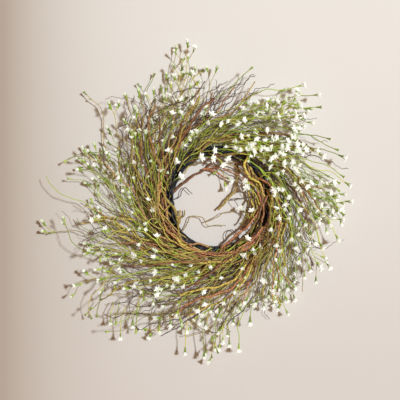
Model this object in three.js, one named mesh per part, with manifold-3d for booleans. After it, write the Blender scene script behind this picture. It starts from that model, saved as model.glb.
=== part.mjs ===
// A twig wreath: a black wound base ring with four tiers of bundles tucked into it. The bundles are bark
// twigs, green sprays with small white blossoms and dark curly tendrils, and they all sweep out clockwise.
// A few stray twigs and curls cross the hole.
// Millimetres and radians, +Z up. The wreath lies on its back and its face looks up.
import * as THREE from "three";
import Module from "manifold-3d";

const wasm = await Module();
wasm.setup();

// Base ring: a tube with eight flat sides, one of them underneath
const RING_RADIUS = 97;
const RING_TUBE = 9;
const RING_SIDES = 8;
const RING_STEPS = 40;
const RING_FLAT = RING_TUBE * Math.cos(Math.PI / RING_SIDES);
const SOCKET_DEPTH = 4.5;
const SOCKET_GAP = 0.35;

// Bundles lie side by side in spiral sectors, the same number in each tier
const SECTORS = 13;
const SECTOR_HALF = Math.PI / SECTORS;
const TURN_LENGTH = 50;
const ROOT_RUN = 14;
const ROOT_GAP = 0.8;
const LOOSENING = 60;
const ROLL_WAVES = 1.4;
const FIRST_STEP = 0.15;
const STEP_GROWTH = 1.3;
const CLEARANCE = 0.6;

// Where a stem may lie in its bundle's part of a tier, and how much it rolls up and down
const STRIP_PLAY = 0.14;
const STEM_HEIGHTS = [-0.9, 0.5];
const STEM_ROLLS = [0.1, 0.5];

// The heights between which each tier lies, next to the ring and out at the rim
const RIM_RADIUS = 300;
const SPREAD_POWER = 0.8;
const NEAR_LEVELS = [2, 10.5, 19, 28, 40];
const FAR_LEVELS = [3, 22, 42, 62, 84];
const LEVEL_GAP = 0.3;
const RIM_LIFTS = [
  { by: 7, waves: 2, phase: 1 },
  { by: 3, waves: 3, phase: 2.4 },
];

// Each tier: how far it turns, where its roots leave the ring, and its bundles in order.
// T is a bundle of bark twigs, B a blossom spray and D a bundle of dark tendrils.
const TIERS = [
  { turn: 2.15, rootTilt: -20, outRadius: 117, shift: 0.1, bundles: "BDBTBDBDBDBBD" },
  { turn: 2.0, rootTilt: 30, outRadius: 115, shift: 0.55, bundles: "BBDBTBDBTBDBT" },
  { turn: 1.85, rootTilt: 75, outRadius: 108, shift: 0.3, bundles: "BTDBTBTBDBTBD" },
  { turn: 1.6, rootTilt: 130, outRadius: 98, shift: 0.8, bundles: "TBTTBDTBTTBDT" },
];

// How far the sprays reach: more on the left than on the right, with a few long ones
const REACH = 260;
const REACH_LEAN = 18;
const REACH_LEAN_AZIMUTH = 170;
const LONG_SPRAYS = [
  { azimuth: 102, reach: 322 },
  { azimuth: 188, reach: 353 },
  { azimuth: 212, reach: 318 },
  { azimuth: 244, reach: 304 },
  { azimuth: 264, reach: 310 },
];

// Most blossoms are on the right
const BLOSSOMS = 11.5;
const BLOSSOM_LEAN = 4;
const BLOSSOM_LEAN_AZIMUTH = 20;
const INNERMOST_BLOSSOM = [188, 188, 188, 140];
const MAIN_BLOSSOM = [0.88, 1.06];
const SIDE_BLOSSOM = [0.78, 1];
const BLOSSOM_TURN = [-0.35, 0.35];
const BLOSSOM_TILT = [-0.05, 0.4];

// Side stems: how many steps back from the tip they start, how far they reach and how they turn
const SIDE_STEM = { start: [0.05, 3.6], reach: [24, 36], angle: [0.35, 0.75] };
const FORK = { start: [0.6, 2.4], reach: [30, 55], angle: [0.3, 0.6] };
const FORK_RADII = [1.5, 1.1];
const UNFORKED = 0.25;

// A bundle's seed is its number in the order of growth, but for these, whose own number tangled a joint
const SEEDS = { 4: 104, 5: 305, 11: 111, 28: 328, 38: 338 };

const KINDS = {
  B: {
    name: "blossom_spray",
    colour: 0x9fb56a,
    sides: 3,
    rootRadius: 1.4,
    tipRadius: 0.85,
    stems: 4,
    points: 5,
    wiggle: 1.5,
    wave: 90,
    reach: 1,
    shortest: 0.66,
    firstJoint: 3,
    jointStep: 14,
  },
  T: {
    name: "bark_twigs",
    colour: 0x7a5a2a,
    sides: 4,
    rootRadius: 2.3,
    tipRadius: 1.5,
    stems: 3,
    points: 5,
    wiggle: 2.5,
    wave: 75,
    reach: 0.86,
    shortest: 0.68,
    firstJoint: 24,
    jointStep: 18,
  },
  D: {
    name: "dark_tendrils",
    colour: 0x4a3a38,
    sides: 3,
    rootRadius: 1.3,
    tipRadius: 0.8,
    stems: 3,
    points: 7,
    wiggle: 6,
    wave: 40,
    reach: 0.97,
    shortest: 0.72,
    firstJoint: 3,
    jointStep: 14,
  },
};

// One blossom: a green sleeve that widens into a cup of four pointed petals
const PETALS = 4;
const SLEEVE_LENGTH = 11;
const SLEEVE_RADIUS = 2.1;
const CUP_DEPTH = 2.6;
const PETAL_RADIUS = 6.6;
const NOTCH_RADIUS = 3.6;
const NOTCH_DROP = 1.2;

// A stem that grows out of another starts as a small triangle on one of its edges
const BUD_LENGTH = 3;
const BUD_WIDTH = 0.4;
const BUD_MARGIN = [0.6, 4];
const BUD_SPACING = 7;
const JOINT_PLAY = 3;
const LEAST_LEAD = 0.94;
const FOLLOWER_SHARE = 0.85;
const LEAST_AHEAD = 14;
const LEAST_ALIGNMENT = 0.35;
const TRIES = 80;
const GOOD_TRIES = 3;
const TEST_STEP = 5;
const JOINT_LENGTH = 6.5;
const LEAST_CLEARANCE = 0.2;

// A bud that leaves its edge too aslant gets an elbow, a ring of corners straight out over the edge
const STRAIGHT_ALIGNMENT = 0.9;
const STRAIGHT_SLOPE = 0.36;
const ELBOW_SLOPE = 0.5;
const ELBOW_GAP = 0.5;

const radians = THREE.MathUtils.degToRad;
const mix = THREE.MathUtils.lerp;
const clamp = THREE.MathUtils.clamp;
const UP = new THREE.Vector3(0, 0, 1);
const DOWN = new THREE.Vector3(0, 0, -1);

// Park and Miller's generator, so that the same seed always grows the same bundle
function seeded(seed) {
  let state = (seed * 7919 + 104729) % 2147483647;
  const draw = (low = 0, high = 1) => {
    state = (state * 16807) % 2147483647;
    return low + ((high - low) * state) / 2147483647;
  };
  for (let i = 0; i < 4; i++) draw();
  return draw;
}

// How far a tier has turned about the axis, clockwise, by a given radius
function turnAt(tier, radius) {
  return TIERS[tier].turn * (1 - Math.exp(-(radius - RING_RADIUS) / TURN_LENGTH));
}

// The share of a sector's width that lies square to its stems
function squareShare(tier, radius) {
  const slope = Math.exp(-(radius - RING_RADIUS) / TURN_LENGTH) / TURN_LENGTH;
  return 1 / Math.hypot(1, radius * TIERS[tier].turn * slope);
}

// How much farther out a point lies for each radian that it is moved square to the stems
function squareRise(tier, radius) {
  const share = squareShare(tier, radius);
  return radius * share * Math.sqrt(1 - share * share);
}

// Half a sector's angle, less what a stem of this girth needs to stay inside
function roomAt(tier, radius, girth) {
  return Math.max(0, SECTOR_HALF - (girth + CLEARANCE) / (radius * squareShare(tier, radius)));
}

function onCylinder(radius, azimuth, z) {
  return new THREE.Vector3(radius * Math.cos(azimuth), radius * Math.sin(azimuth), z);
}

// A point of a tier: sector angle, radius, and place between the tier's levels from -1 to 1
function tierPoint(tier, sectorAngle, radius, height, girth) {
  const azimuth = sectorAngle - turnAt(tier, radius);
  const inner = RING_RADIUS + RING_TUBE;
  const share = clamp((radius - inner) / (RIM_RADIUS - inner), 0, 1) ** SPREAD_POWER;
  const low = mix(NEAR_LEVELS[tier], FAR_LEVELS[tier], share);
  const high = mix(NEAR_LEVELS[tier + 1], FAR_LEVELS[tier + 1], share);
  const lifts = RIM_LIFTS.map(({ by, waves, phase }) => by * (1 + Math.sin(waves * azimuth + phase)));
  const lift = lifts[0] + lifts[1];
  const room = Math.max(0, (high - low) / 2 - girth - LEVEL_GAP);
  return onCylinder(radius, azimuth, (low + high) / 2 + share * lift + height * room);
}

// The point of a bundle's own part of its tier that is nearest to an aim, at a height from -1 to 1
function insideTier({ tier, middle }, aim, height, girth) {
  const radius = Math.hypot(aim.x, aim.y);
  const azimuth = Math.atan2(aim.y, aim.x) + turnAt(tier, radius) - middle;
  const side = Math.atan2(Math.sin(azimuth), Math.cos(azimuth));
  const room = roomAt(tier, radius, girth);
  const inside = clamp(side, -room, room);
  const abreast = radius + (inside - side) * squareRise(tier, radius);
  return tierPoint(tier, middle + inside, abreast, height, girth);
}

// A stem's route past its start, out to its tip in its own part of the sector
function stemRoute(bundle, place, fromRadius, toRadius, tipGirth) {
  const { tier, kind, middle } = bundle;
  const route = [];
  for (let i = 1; i <= kind.points; i++) {
    const share = (i - FIRST_STEP) / (kind.points - FIRST_STEP);
    const middleRadius = mix(fromRadius, toRadius, share ** STEP_GROWTH);
    const aside = place.side * roomAt(tier, middleRadius, kind.rootRadius);
    const radius = middleRadius + (1 - share) * aside * squareRise(tier, middleRadius);
    const girth = i < kind.points ? kind.rootRadius : tipGirth;
    const room = roomAt(tier, radius, girth);
    const loose = clamp((radius - TIERS[tier].outRadius) / LOOSENING, 0, 1);
    const wave = (2 * Math.PI * radius) / kind.wave;
    const wander = kind.wiggle * Math.sin(wave + place.phase);
    const aslant = (loose * wander) / (radius * squareShare(tier, radius));
    const side = clamp(place.side * room + aslant, -room, room);
    const roll = loose * place.roll * Math.sin(wave / ROLL_WAVES + 2 * place.phase);
    route.push(tierPoint(tier, middle + side, radius, clamp(place.height + roll, -1, 1), girth));
  }
  return route;
}

// The first points of a bundle's leading stem: sunk in the ring, just outside it, then in its tier
function rootRoute({ tier, kind, middle }) {
  const tilt = radians(TIERS[tier].rootTilt);
  const sunk = RING_FLAT - SOCKET_DEPTH;
  const clear = RING_FLAT + kind.rootRadius + ROOT_GAP;
  const sunkRadius = RING_RADIUS + sunk * Math.cos(tilt);
  const clearRadius = RING_RADIUS + clear * Math.cos(tilt);
  const leaving = middle - turnAt(tier, clearRadius);
  return [
    onCylinder(sunkRadius, leaving + ROOT_RUN / clearRadius, RING_FLAT + sunk * Math.sin(tilt)),
    onCylinder(clearRadius, leaving, RING_FLAT + clear * Math.sin(tilt)),
    tierPoint(tier, middle, TIERS[tier].outRadius, 0, kind.rootRadius),
  ];
}

// A point part of the way along a path, counted in its steps
function along(path, step) {
  const whole = Math.min(Math.floor(step), path.length - 2);
  return path[whole].clone().lerp(path[whole + 1], step - whole);
}

// The step of a path at a distance from its start
function stepAt(path, distance) {
  let left = distance;
  for (let i = 0; i + 1 < path.length; i++) {
    const length = path[i].distanceTo(path[i + 1]);
    if (left < length) return i + left / length;
    left -= length;
  }
  return path.length - 1;
}

// A stem's place in the sector, from -1 to 1 to the side and in height, in its own strip of it
function placeOf(kind, strip, draw) {
  return {
    side: clamp((2 * strip + 1) / kind.stems - 1 + draw(-STRIP_PLAY, STRIP_PLAY), -1, 1),
    height: draw(...STEM_HEIGHTS),
    roll: draw(...STEM_ROLLS),
    phase: draw(0, 2 * Math.PI),
  };
}

function reachAt(azimuth, tier) {
  const long = LONG_SPRAYS.find(
    (spray) => tier < 2 && Math.cos(azimuth - radians(spray.azimuth)) > Math.cos(SECTOR_HALF),
  );
  const around = REACH + REACH_LEAN * Math.cos(azimuth - radians(REACH_LEAN_AZIMUTH));
  return { around, longest: long ? long.reach : around };
}

function blossomsAt(azimuth) {
  return Math.round(BLOSSOMS + BLOSSOM_LEAN * Math.cos(azimuth - radians(BLOSSOM_LEAN_AZIMUTH)));
}

// Puts a blossom at a stem's end, facing along it and a little to one side and up
function flower(stem, size, turn, tilt) {
  const [before, centre] = stem.path.slice(-2);
  const facing = centre.clone().sub(before).normalize();
  facing.addScaledVector(UP.clone().cross(facing).normalize(), turn).addScaledVector(UP, tilt).normalize();
  const neck = centre.clone().addScaledVector(facing, -SLEEVE_LENGTH * size);
  return { ...stem, path: [...stem.path.slice(0, -1), neck], blossom: { centre, facing, size } };
}

// A stem with a blossom of a drawn size, that faces a drawn way
function facingOut(stem, draw, [smallest, largest]) {
  return flower(stem, draw(smallest, largest), draw(...BLOSSOM_TURN), draw(...BLOSSOM_TILT));
}

// The whole line of a stem with the place of its blossom
function lineOf({ path, blossom }) {
  return blossom ? [...path, blossom.centre] : path;
}

// How thick a stem is a share of the way along one step of its line, up to its petals
function girthAt({ from, blossom, tapered }, line, step, share) {
  if (tapered) return mix(from, SLEEVE_RADIUS, (step + share) / (line.length - 1));
  return blossom && step + 2 === line.length ? SLEEVE_RADIUS : from;
}

// The room between a new stem and the others of its bundle, at the tightest place past its joint
function clearanceOf(stem, others) {
  const closest = new THREE.Vector3();
  const segment = new THREE.Line3();
  const line = lineOf(stem);
  let clearance = Infinity;
  const test = (point, other, index, girth) => {
    if (index === stem.on && point.distanceTo(line[0]) < JOINT_LENGTH) return;
    const whole = lineOf(other);
    if (other.blossom) {
      clearance = Math.min(clearance, point.distanceTo(other.blossom.centre) - girth - PETAL_RADIUS);
    }
    for (let j = 0; j + 1 < whole.length; j++) {
      segment.set(whole[j], whole[j + 1]).closestPointToPoint(point, true, closest);
      clearance = Math.min(clearance, point.distanceTo(closest) - girth - girthAt(other, whole, j, 1));
    }
  };
  for (let i = 0; i + 1 < line.length; i++) {
    const steps = Math.ceil(line[i].distanceTo(line[i + 1]) / TEST_STEP);
    for (let k = 1; k <= steps; k++) {
      const point = line[i].clone().lerp(line[i + 1], k / steps);
      const isPetals = stem.blossom && i + 2 === line.length && k === steps;
      const girth = isPetals ? PETAL_RADIUS : girthAt(stem, line, i, k / steps);
      others.forEach((other, index) => test(point, other, index, girth));
    }
  }
  return clearance;
}

// Half of a bud's share of the span it is on, and how far its middle keeps from the span's two ends
function budShares(parent, stem, span) {
  const length = parent.path[span].distanceTo(parent.path[span + 1]);
  const half = (BUD_LENGTH * stem.from) / 2 / length;
  const [behind, ahead] = BUD_MARGIN.map((margin) => half + margin / length);
  return { half, behind, ahead };
}

// Moves a new stem's joint clear of its span's ends, and gives it an elbow over the nearest edge
// of the stem that it grows on, if it leaves too aslant
function elbowed(aimed, parent, sides) {
  const span = Math.min(Math.floor(aimed.at), parent.path.length - 2);
  const { behind, ahead: before } = budShares(parent, aimed, span);
  const at = span + clamp(aimed.at - span, behind, 1 - before);
  const stem = { ...aimed, at, path: [along(parent.path, at), ...aimed.path.slice(1)] };
  const [start, next] = stem.path;
  const forward = forwardAt(parent.path, at);
  const way = next.clone().sub(start);
  const ahead = way.dot(forward);
  const aside = way.addScaledVector(forward, -ahead);
  const edges = Array.from({ length: sides }, (_, k) => edgeDirection(forward, (2 * Math.PI * k) / sides));
  const out = edges.reduce((best, edge) => (edge.dot(aside) > best.dot(aside) ? edge : best));
  const alignment = out.dot(aside) / aside.length();
  if (alignment < LEAST_ALIGNMENT) return null;
  if (alignment > STRAIGHT_ALIGNMENT && aside.length() > STRAIGHT_SLOPE * ahead) return stem;
  const rise = mix(parent.from, parent.to, at / (parent.path.length - 1)) + stem.from + ELBOW_GAP;
  const elbow = start.clone().addScaledVector(out, rise).addScaledVector(forward, rise / ELBOW_SLOPE);
  return { ...stem, path: [start, elbow, ...stem.path.slice(1)] };
}

// The clearest of several tries at a stem that leaves the one it grows on away from other joints
function clearest(others, sides, attempt) {
  let best = null;
  for (let i = 0, found = 0; i < TRIES && found < GOOD_TRIES; i++) {
    const aimed = attempt();
    const siblings = others.filter(({ on }) => on === aimed.on);
    const crowded = siblings.some(({ path }) => path[0].distanceTo(aimed.path[0]) < BUD_SPACING);
    const stem = crowded ? null : elbowed(aimed, others[aimed.on], sides);
    if (!stem) continue;
    const clearance = clearanceOf(stem, others);
    if (clearance < LEAST_CLEARANCE) continue;
    found++;
    if (!best || clearance > best.clearance) best = { stem, clearance };
  }
  return best && best.stem;
}

function forwardAt(path, step) {
  const span = Math.min(Math.floor(step), path.length - 2);
  return path[span + 1].clone().sub(path[span]).normalize();
}

// Every stem of a bundle, the leading one first, then the others that fan out from its root
function growBundle(bundle) {
  const { tier, kind, middle, draw } = bundle;
  const tipAzimuth = middle - turnAt(tier, REACH);
  const { around, longest } = reachAt(tipAzimuth, tier);
  const bears = kind === KINDS.B;
  const girth = bears ? PETAL_RADIUS : kind.rootRadius;
  const full = around * kind.reach;
  const shortest = Math.max(full * kind.shortest, bears ? INNERMOST_BLOSSOM[tier] : 0);
  const blooming = (stem) => (bears ? facingOut(stem, draw, MAIN_BLOSSOM) : stem);
  const lead = Math.floor(kind.stems / 2);
  const leadPlace = placeOf(kind, lead, draw);
  const leadEnd = (bears ? longest : full) * draw(LEAST_LEAD, 1);
  const leadRoute = stemRoute(bundle, leadPlace, TIERS[tier].outRadius, leadEnd, girth);
  const leadPath = [...rootRoute(bundle), ...leadRoute];
  const stems = [blooming({ path: leadPath, from: kind.rootRadius, to: kind.tipRadius })];
  const outside = leadPath[0].distanceTo(leadPath[1]) + leadPath[1].distanceTo(leadPath[2]);
  for (let strip = 0; strip < kind.stems; strip++) {
    if (strip === lead) continue;
    const end = draw(shortest, full);
    const joint = outside + kind.firstJoint + (stems.length - 1) * kind.jointStep;
    const grown = clearest(stems, kind.sides, () => {
      const place = placeOf(kind, strip, draw);
      const at = stepAt(stems[0].path, joint + draw(-JOINT_PLAY, JOINT_PLAY));
      const start = along(stems[0].path, at);
      const forward = forwardAt(stems[0].path, at);
      const route = stemRoute(bundle, place, Math.hypot(start.x, start.y), end, girth);
      const ahead = route.filter((point) => point.clone().sub(start).dot(forward) > LEAST_AHEAD);
      const path = [start, ...ahead];
      return blooming({ path, from: FOLLOWER_SHARE * kind.rootRadius, to: kind.tipRadius, on: 0, at });
    });
    if (grown) stems.push(grown);
  }
  if (bears) addSideBlossoms(bundle, stems, blossomsAt(tipAzimuth));
  if (kind === KINDS.T) addForks(bundle, stems);
  return stems;
}

// The start of a side stem on a main one, and its end, turned to the left or right by an angle
function sideAim(bundle, main, { start: starts, reach: reaches, angle: angles }, girth) {
  const { draw } = bundle;
  const at = main.path.length - 1 - draw(...starts);
  const start = along(main.path, at);
  const reach = draw(...reaches);
  const angle = draw(...angles) * (draw() < 0.5 ? -1 : 1);
  const forward = forwardAt(main.path, at).applyAxisAngle(UP, angle);
  const end = insideTier(bundle, start.clone().addScaledVector(forward, reach), draw(-1, 1), girth);
  return { at, path: [start, end] };
}

// Short side stems with a blossom each, on the outer part of the long ones, where there is most room
function addSideBlossoms(bundle, stems, count) {
  const { kind, draw } = bundle;
  const mains = stems.length;
  for (let i = 0; i < 2 * count && stems.length < count; i++) {
    const on = i % mains;
    const grown = clearest(stems, kind.sides, () => {
      const aim = sideAim(bundle, stems[on], SIDE_STEM, PETAL_RADIUS);
      const stem = { ...aim, from: kind.tipRadius, to: kind.tipRadius, on, tapered: true };
      return facingOut(stem, draw, SIDE_BLOSSOM);
    });
    if (grown) stems.push(grown);
  }
}

// A short fork near the end of some bark twigs
function addForks(bundle, stems) {
  const { kind, draw } = bundle;
  const mains = stems.length;
  for (let on = 0; on < mains; on++) {
    if (draw() < UNFORKED) continue;
    const grown = clearest(stems, kind.sides, () => {
      const aim = sideAim(bundle, stems[on], FORK, kind.tipRadius);
      return { ...aim, from: FORK_RADII[0], to: FORK_RADII[1], on };
    });
    if (grown) stems.push(grown);
  }
}

// The part of a vector that is square to a direction, at length one
function square(vector, direction) {
  return vector.clone().addScaledVector(direction, -vector.dot(direction)).normalize();
}

// The way that an edge of a stem faces: the first one faces down, turned by an angle round the stem
function edgeDirection(forward, angle) {
  return square(DOWN, forward).applyAxisAngle(forward, angle);
}

// Corners round a point, square to a direction
function ringOf(centre, forward, spin, sides, reachOf) {
  return Array.from({ length: sides }, (_, k) =>
    centre.clone().addScaledVector(edgeDirection(forward, spin + (2 * Math.PI * k) / sides), reachOf(k)),
  );
}

// Rings of corners along a stem's path, and over its blossom
function ringsOf({ path, from, to, blossom, tapered }, sides, spin) {
  const rings = path.map((point, i) => {
    const before = path[Math.max(i - 1, 0)];
    const after = path[Math.min(i + 1, path.length - 1)];
    const forward = after.clone().sub(before).normalize();
    return ringOf(point, forward, spin, sides, () => mix(from, to, i / (path.length - 1)));
  });
  if (!blossom) return rings;
  const { centre, facing, size } = blossom;
  if (tapered) rings.pop();
  const cup = centre.clone().addScaledVector(facing, -CUP_DEPTH * size);
  rings.push(ringOf(cup, facing, spin, sides, () => SLEEVE_RADIUS * size));
  const reachOf = (k) => (k % 2 ? NOTCH_RADIUS : PETAL_RADIUS) * size;
  const petals = ringOf(centre, facing, spin, 2 * PETALS, reachOf);
  petals.forEach((corner, k) => k % 2 && corner.addScaledVector(facing, -NOTCH_DROP * size));
  rings.push(petals);
  return rings;
}

// The mesh of a bundle as one closed skin: corners and faces are added stem by stem
class Skin {
  corners = [];
  faces = [];

  add(corner) {
    this.corners.push(corner);
    return this.corners.length - 1;
  }

  // A band of faces between two rings, whose counts may differ
  band(near, far) {
    const [n, m] = [near.length, far.length];
    let i = 0;
    let j = 0;
    while (i < n || j < m) {
      const stepNear = j >= m || (i < n && (i + 1) / n <= (j + 1) / m);
      if (stepNear) this.faces.push(near[i % n], near[(i + 1) % n], far[j % m]);
      else this.faces.push(near[i % n], far[(j + 1) % m], far[j % m]);
      if (stepNear) i++;
      else j++;
    }
  }

  // A band whose edges carry buds: each side is a polygon between two edges with their buds' corners
  buddedBand(near, far, buds) {
    const sides = near.length;
    const edges = near.map(() => []);
    for (const bud of buds) edges[bud.edge].push(bud);
    edges.forEach((edge, k) => {
      edge.sort((a, b) => a.start - b.start);
      edge.forEach((bud, i) => {
        const next = i + 1 < edge.length ? edge[i + 1].corners[0] : far[k];
        this.faces.push(bud.corners[1], next, bud.corners[2]);
      });
    });
    for (let k = 0; k < sides; k++) {
      const next = (k + 1) % sides;
      const up = edges[next].flatMap(({ corners, start, end }) => [
        [corners[0], 1, start],
        [corners[2], 1 - BUD_WIDTH, end],
      ]);
      const down = edges[k].flatMap(({ corners, start, end }) => [
        [corners[0], 0, start],
        [corners[1], BUD_WIDTH, end],
      ]);
      const start = [
        [near[k], 0, 0],
        [near[next], 1, 0],
      ];
      const end = [
        [far[next], 1, 1],
        [far[k], 0, 1],
      ];
      const outline = [...start, ...up, ...end, ...down.reverse()];
      const flat = outline.map(([, x, y]) => new THREE.Vector2(x, y));
      for (const [a, b, c] of THREE.ShapeUtils.triangulateShape(flat, [])) {
        const turn = flat[b].clone().sub(flat[a]).cross(flat[c].clone().sub(flat[a]));
        this.faces.push(outline[a][0], outline[turn > 0 ? b : c][0], outline[turn > 0 ? c : b][0]);
      }
    }
  }

  // Closes the last ring: petals are closed across their notches, and a cut end is flat
  close(ring) {
    const size = ring.length;
    const petals = size === 2 * PETALS;
    const rim = petals ? ring.filter((_, k) => k % 2) : ring;
    for (let k = 0; petals && k < size; k += 2) {
      this.faces.push(ring[k], ring[k + 1], ring[(k + size - 1) % size]);
    }
    for (let k = 1; k + 1 < rim.length; k++) this.faces.push(rim[0], rim[k], rim[k + 1]);
  }

  solid() {
    return solidOf(new THREE.BufferGeometry().setFromPoints(this.corners).setIndex(this.faces));
  }
}

// The triangle of corners from which a stem grows on another: on an edge, then on the faces beside it
function budOn(skin, parent, stem, sides) {
  const span = Math.floor(stem.at);
  const [near, far] = [parent.rings[span], parent.rings[span + 1]];
  const { half } = budShares(parent, stem, span);
  const middle = stem.at - span;
  const [start, end] = [middle - half, middle + half];
  const away = stem.path[1].clone().sub(stem.path[0]);
  const centre = along(parent.path, span + middle);
  const corner = (k, share) => skin.corners[near[k]].clone().lerp(skin.corners[far[k]], share);
  let edge = 0;
  for (let k = 1; k < sides; k++) {
    const facing = (m) => corner(m, middle).sub(centre).dot(away);
    if (facing(k) > facing(edge)) edge = k;
  }
  const beside = (k) => skin.add(corner(edge, end).lerp(corner(k % sides, end), BUD_WIDTH));
  const corners = [skin.add(corner(edge, start)), beside(edge + 1), beside(edge + sides - 1)];
  return { edge, start, end, corners, span };
}

// The turn of a stem's rings that brings their first corner nearest to a bud's first corner
function spinFor(path, bud, skin, sides) {
  const [first, second, third] = bud.corners.map((corner) => skin.corners[corner]);
  const middle = first.clone().add(second).add(third).divideScalar(3);
  const forward = path[Math.min(2, path.length - 1)].clone().sub(path[0]).normalize();
  const wanted = square(first.clone().sub(middle), forward);
  let best = 0;
  for (let k = 1; k < sides; k++) {
    const spin = (2 * Math.PI * k) / sides;
    if (edgeDirection(forward, spin).dot(wanted) > edgeDirection(forward, best).dot(wanted)) best = spin;
  }
  return best;
}

// All the stems of a bundle as one closed skin, each growing out of an edge of the one that it is on
function bundleSkin(stems, sides) {
  const skin = new Skin();
  const grown = [];
  for (const stem of stems) {
    const parent = stem.on === undefined ? null : grown[stem.on];
    const bud = parent && budOn(skin, parent, stem, sides);
    const spin = bud ? spinFor(lineOf(stem), bud, skin, sides) : 0;
    const rings = ringsOf(stem, sides, spin).map((ring, i) => {
      if (i === 0 && bud) return bud.corners;
      return ring.map((corner) => skin.add(corner));
    });
    if (bud) parent.buds.push(bud);
    grown.push({ path: stem.path, rings, buds: [], root: !bud });
  }
  for (const { rings, buds, root } of grown) {
    if (root) skin.close([...rings[0]].reverse());
    for (let i = 0; i + 1 < rings.length; i++) {
      const here = buds.filter((bud) => bud.span === i);
      if (here.length) skin.buddedBand(rings[i], rings[i + 1], here);
      else skin.band(rings[i], rings[i + 1]);
    }
    skin.close(rings[rings.length - 1]);
  }
  return skin;
}

// Solids and meshes
function solidOf(geometry) {
  const vertProperties = geometry.getAttribute("position").array;
  const triVerts = new Uint32Array(geometry.index.array);
  return new wasm.Manifold(new wasm.Mesh({ numProp: 3, vertProperties, triVerts }));
}

function namedMesh(name, solid, colour, roughness) {
  const mesh = solid.getMesh();
  const geometry = new THREE.BufferGeometry();
  geometry.setAttribute("position", new THREE.BufferAttribute(mesh.vertProperties, 3));
  geometry.setIndex(new THREE.BufferAttribute(mesh.triVerts, 1));
  const material = new THREE.MeshStandardMaterial({ color: colour, roughness, metalness: 0 });
  const named = new THREE.Mesh(geometry, material);
  named.name = name;
  return named;
}

function ringSolid() {
  const skin = new Skin();
  const rings = Array.from({ length: RING_STEPS }, (_, s) => {
    const azimuth = (2 * Math.PI * s) / RING_STEPS;
    return Array.from({ length: RING_SIDES }, (_, k) => {
      const angle = (-(2 * k + 1) * Math.PI) / RING_SIDES;
      const radius = RING_RADIUS + RING_TUBE * Math.cos(angle);
      return skin.add(onCylinder(radius, azimuth, RING_FLAT + RING_TUBE * Math.sin(angle)));
    });
  });
  rings.forEach((ring, s) => skin.band(ring, rings[(s + 1) % RING_STEPS]));
  return skin.solid();
}

const HOLE_BLOSSOM_TILT = 0.15;

// Stray twigs and curls that cross the hole, each from its own socket in the ring's inner side.
// Points are measured from the ring's centre. A branch grows on an earlier stem, at a step of its path.
const HOLE_PIECES = [
  {
    name: "hole_twigs_right",
    kind: "T",
    stems: [
      {
        from: 2.8,
        to: 2.4,
        path: [
          [45.2, 81.5, 8.3],
          [42, 73, 8.3],
          [43.5, 50.7, 10],
          [35.7, 20, 14],
          [3.8, -16.3, 16],
        ],
      },
      {
        from: 2.2,
        to: 1.8,
        on: 0,
        at: 1.35,
        path: [
          [60, 50, 10],
          [71, 24, 11],
          [70, -4, 11],
          [62, -30, 10],
          [51, -52, 10],
        ],
      },
    ],
  },
  {
    name: "hole_twigs_top",
    kind: "T",
    stems: [
      {
        from: 3,
        to: 2.3,
        path: [
          [-92.4, 12, 8.3],
          [-84, 16, 8.3],
          [-60.4, 36.7, 9],
          [-22.8, 60.4, 10],
          [4, 80, 10.5],
        ],
      },
      {
        from: 1.9,
        to: 1.6,
        on: 0,
        at: 3.1,
        path: [
          [4, 55, 14],
          [19, 43.7, 15],
          [33, 38, 15],
        ],
      },
    ],
  },
  {
    name: "hole_twigs_left",
    kind: "T",
    stems: [
      {
        from: 2.4,
        to: 2,
        path: [
          [-78.2, -50.8, 8.3],
          [-71, -43, 8.6],
          [-68.5, -18, 10],
        ],
      },
      {
        from: 1.6,
        to: 1.3,
        on: 0,
        at: 1.3,
        path: [
          [-77, -25, 9],
          [-81, -13, 9],
        ],
      },
      {
        from: 1.6,
        to: 1.3,
        on: 0,
        at: 1.4,
        path: [
          [-62, -28, 9],
          [-60, -18, 10],
        ],
      },
    ],
  },
  {
    name: "hole_tendril",
    kind: "D",
    stems: [
      {
        from: 1.4,
        to: 0.9,
        path: [
          [-69.3, -62.4, 8.3],
          [-61, -54, 8.6],
          [-47.1, -30, 13],
          [-28.3, -31, 16],
          [-12, -49, 17],
          [1, -46, 16],
          [19, -47.7, 15],
        ],
      },
      {
        from: 1.2,
        to: 0.8,
        on: 0,
        at: 3.5,
        path: [
          [-2, -33, 20],
          [14.8, -23.2, 21],
          [41.4, -19, 20],
        ],
      },
    ],
  },
  {
    name: "hole_curl_left",
    kind: "D",
    stems: [
      {
        from: 1.3,
        to: 0.9,
        path: [
          [-93.2, 2, 8.3],
          [-84, 2.5, 8.3],
          [-71, 7, 10],
          [-64.6, 20, 12],
          [-58.9, 26, 13],
          [-52, 20, 14],
          [-45.8, 13, 14],
        ],
      },
    ],
  },
  {
    name: "hole_curl_right",
    kind: "D",
    stems: [
      {
        from: 1.3,
        to: 0.9,
        path: [
          [48.4, -79.6, 8.3],
          [43, -70, 8.3],
          [36, -60, 9],
          [27.4, -56, 11],
          [20, -61, 12],
          [19, -77, 10],
          [11, -79, 9],
        ],
      },
    ],
  },
  {
    name: "hole_spray",
    kind: "B",
    stems: [
      {
        from: 1.4,
        to: 0.85,
        flower: 1,
        path: [
          [8.1, 92.8, 8.3],
          [9, 84, 8.6],
          [11, 70, 13],
          [15, 46, 21],
          [20, 24, 22],
        ],
      },
      { from: 0.85, to: 0.85, on: 0, at: 2.2, path: [[-8, 50, 21]], flower: 0.95 },
      { from: 0.85, to: 0.85, on: 0, at: 2.6, path: [[30, 38, 22]], flower: 0.9 },
    ],
  },
];

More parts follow.
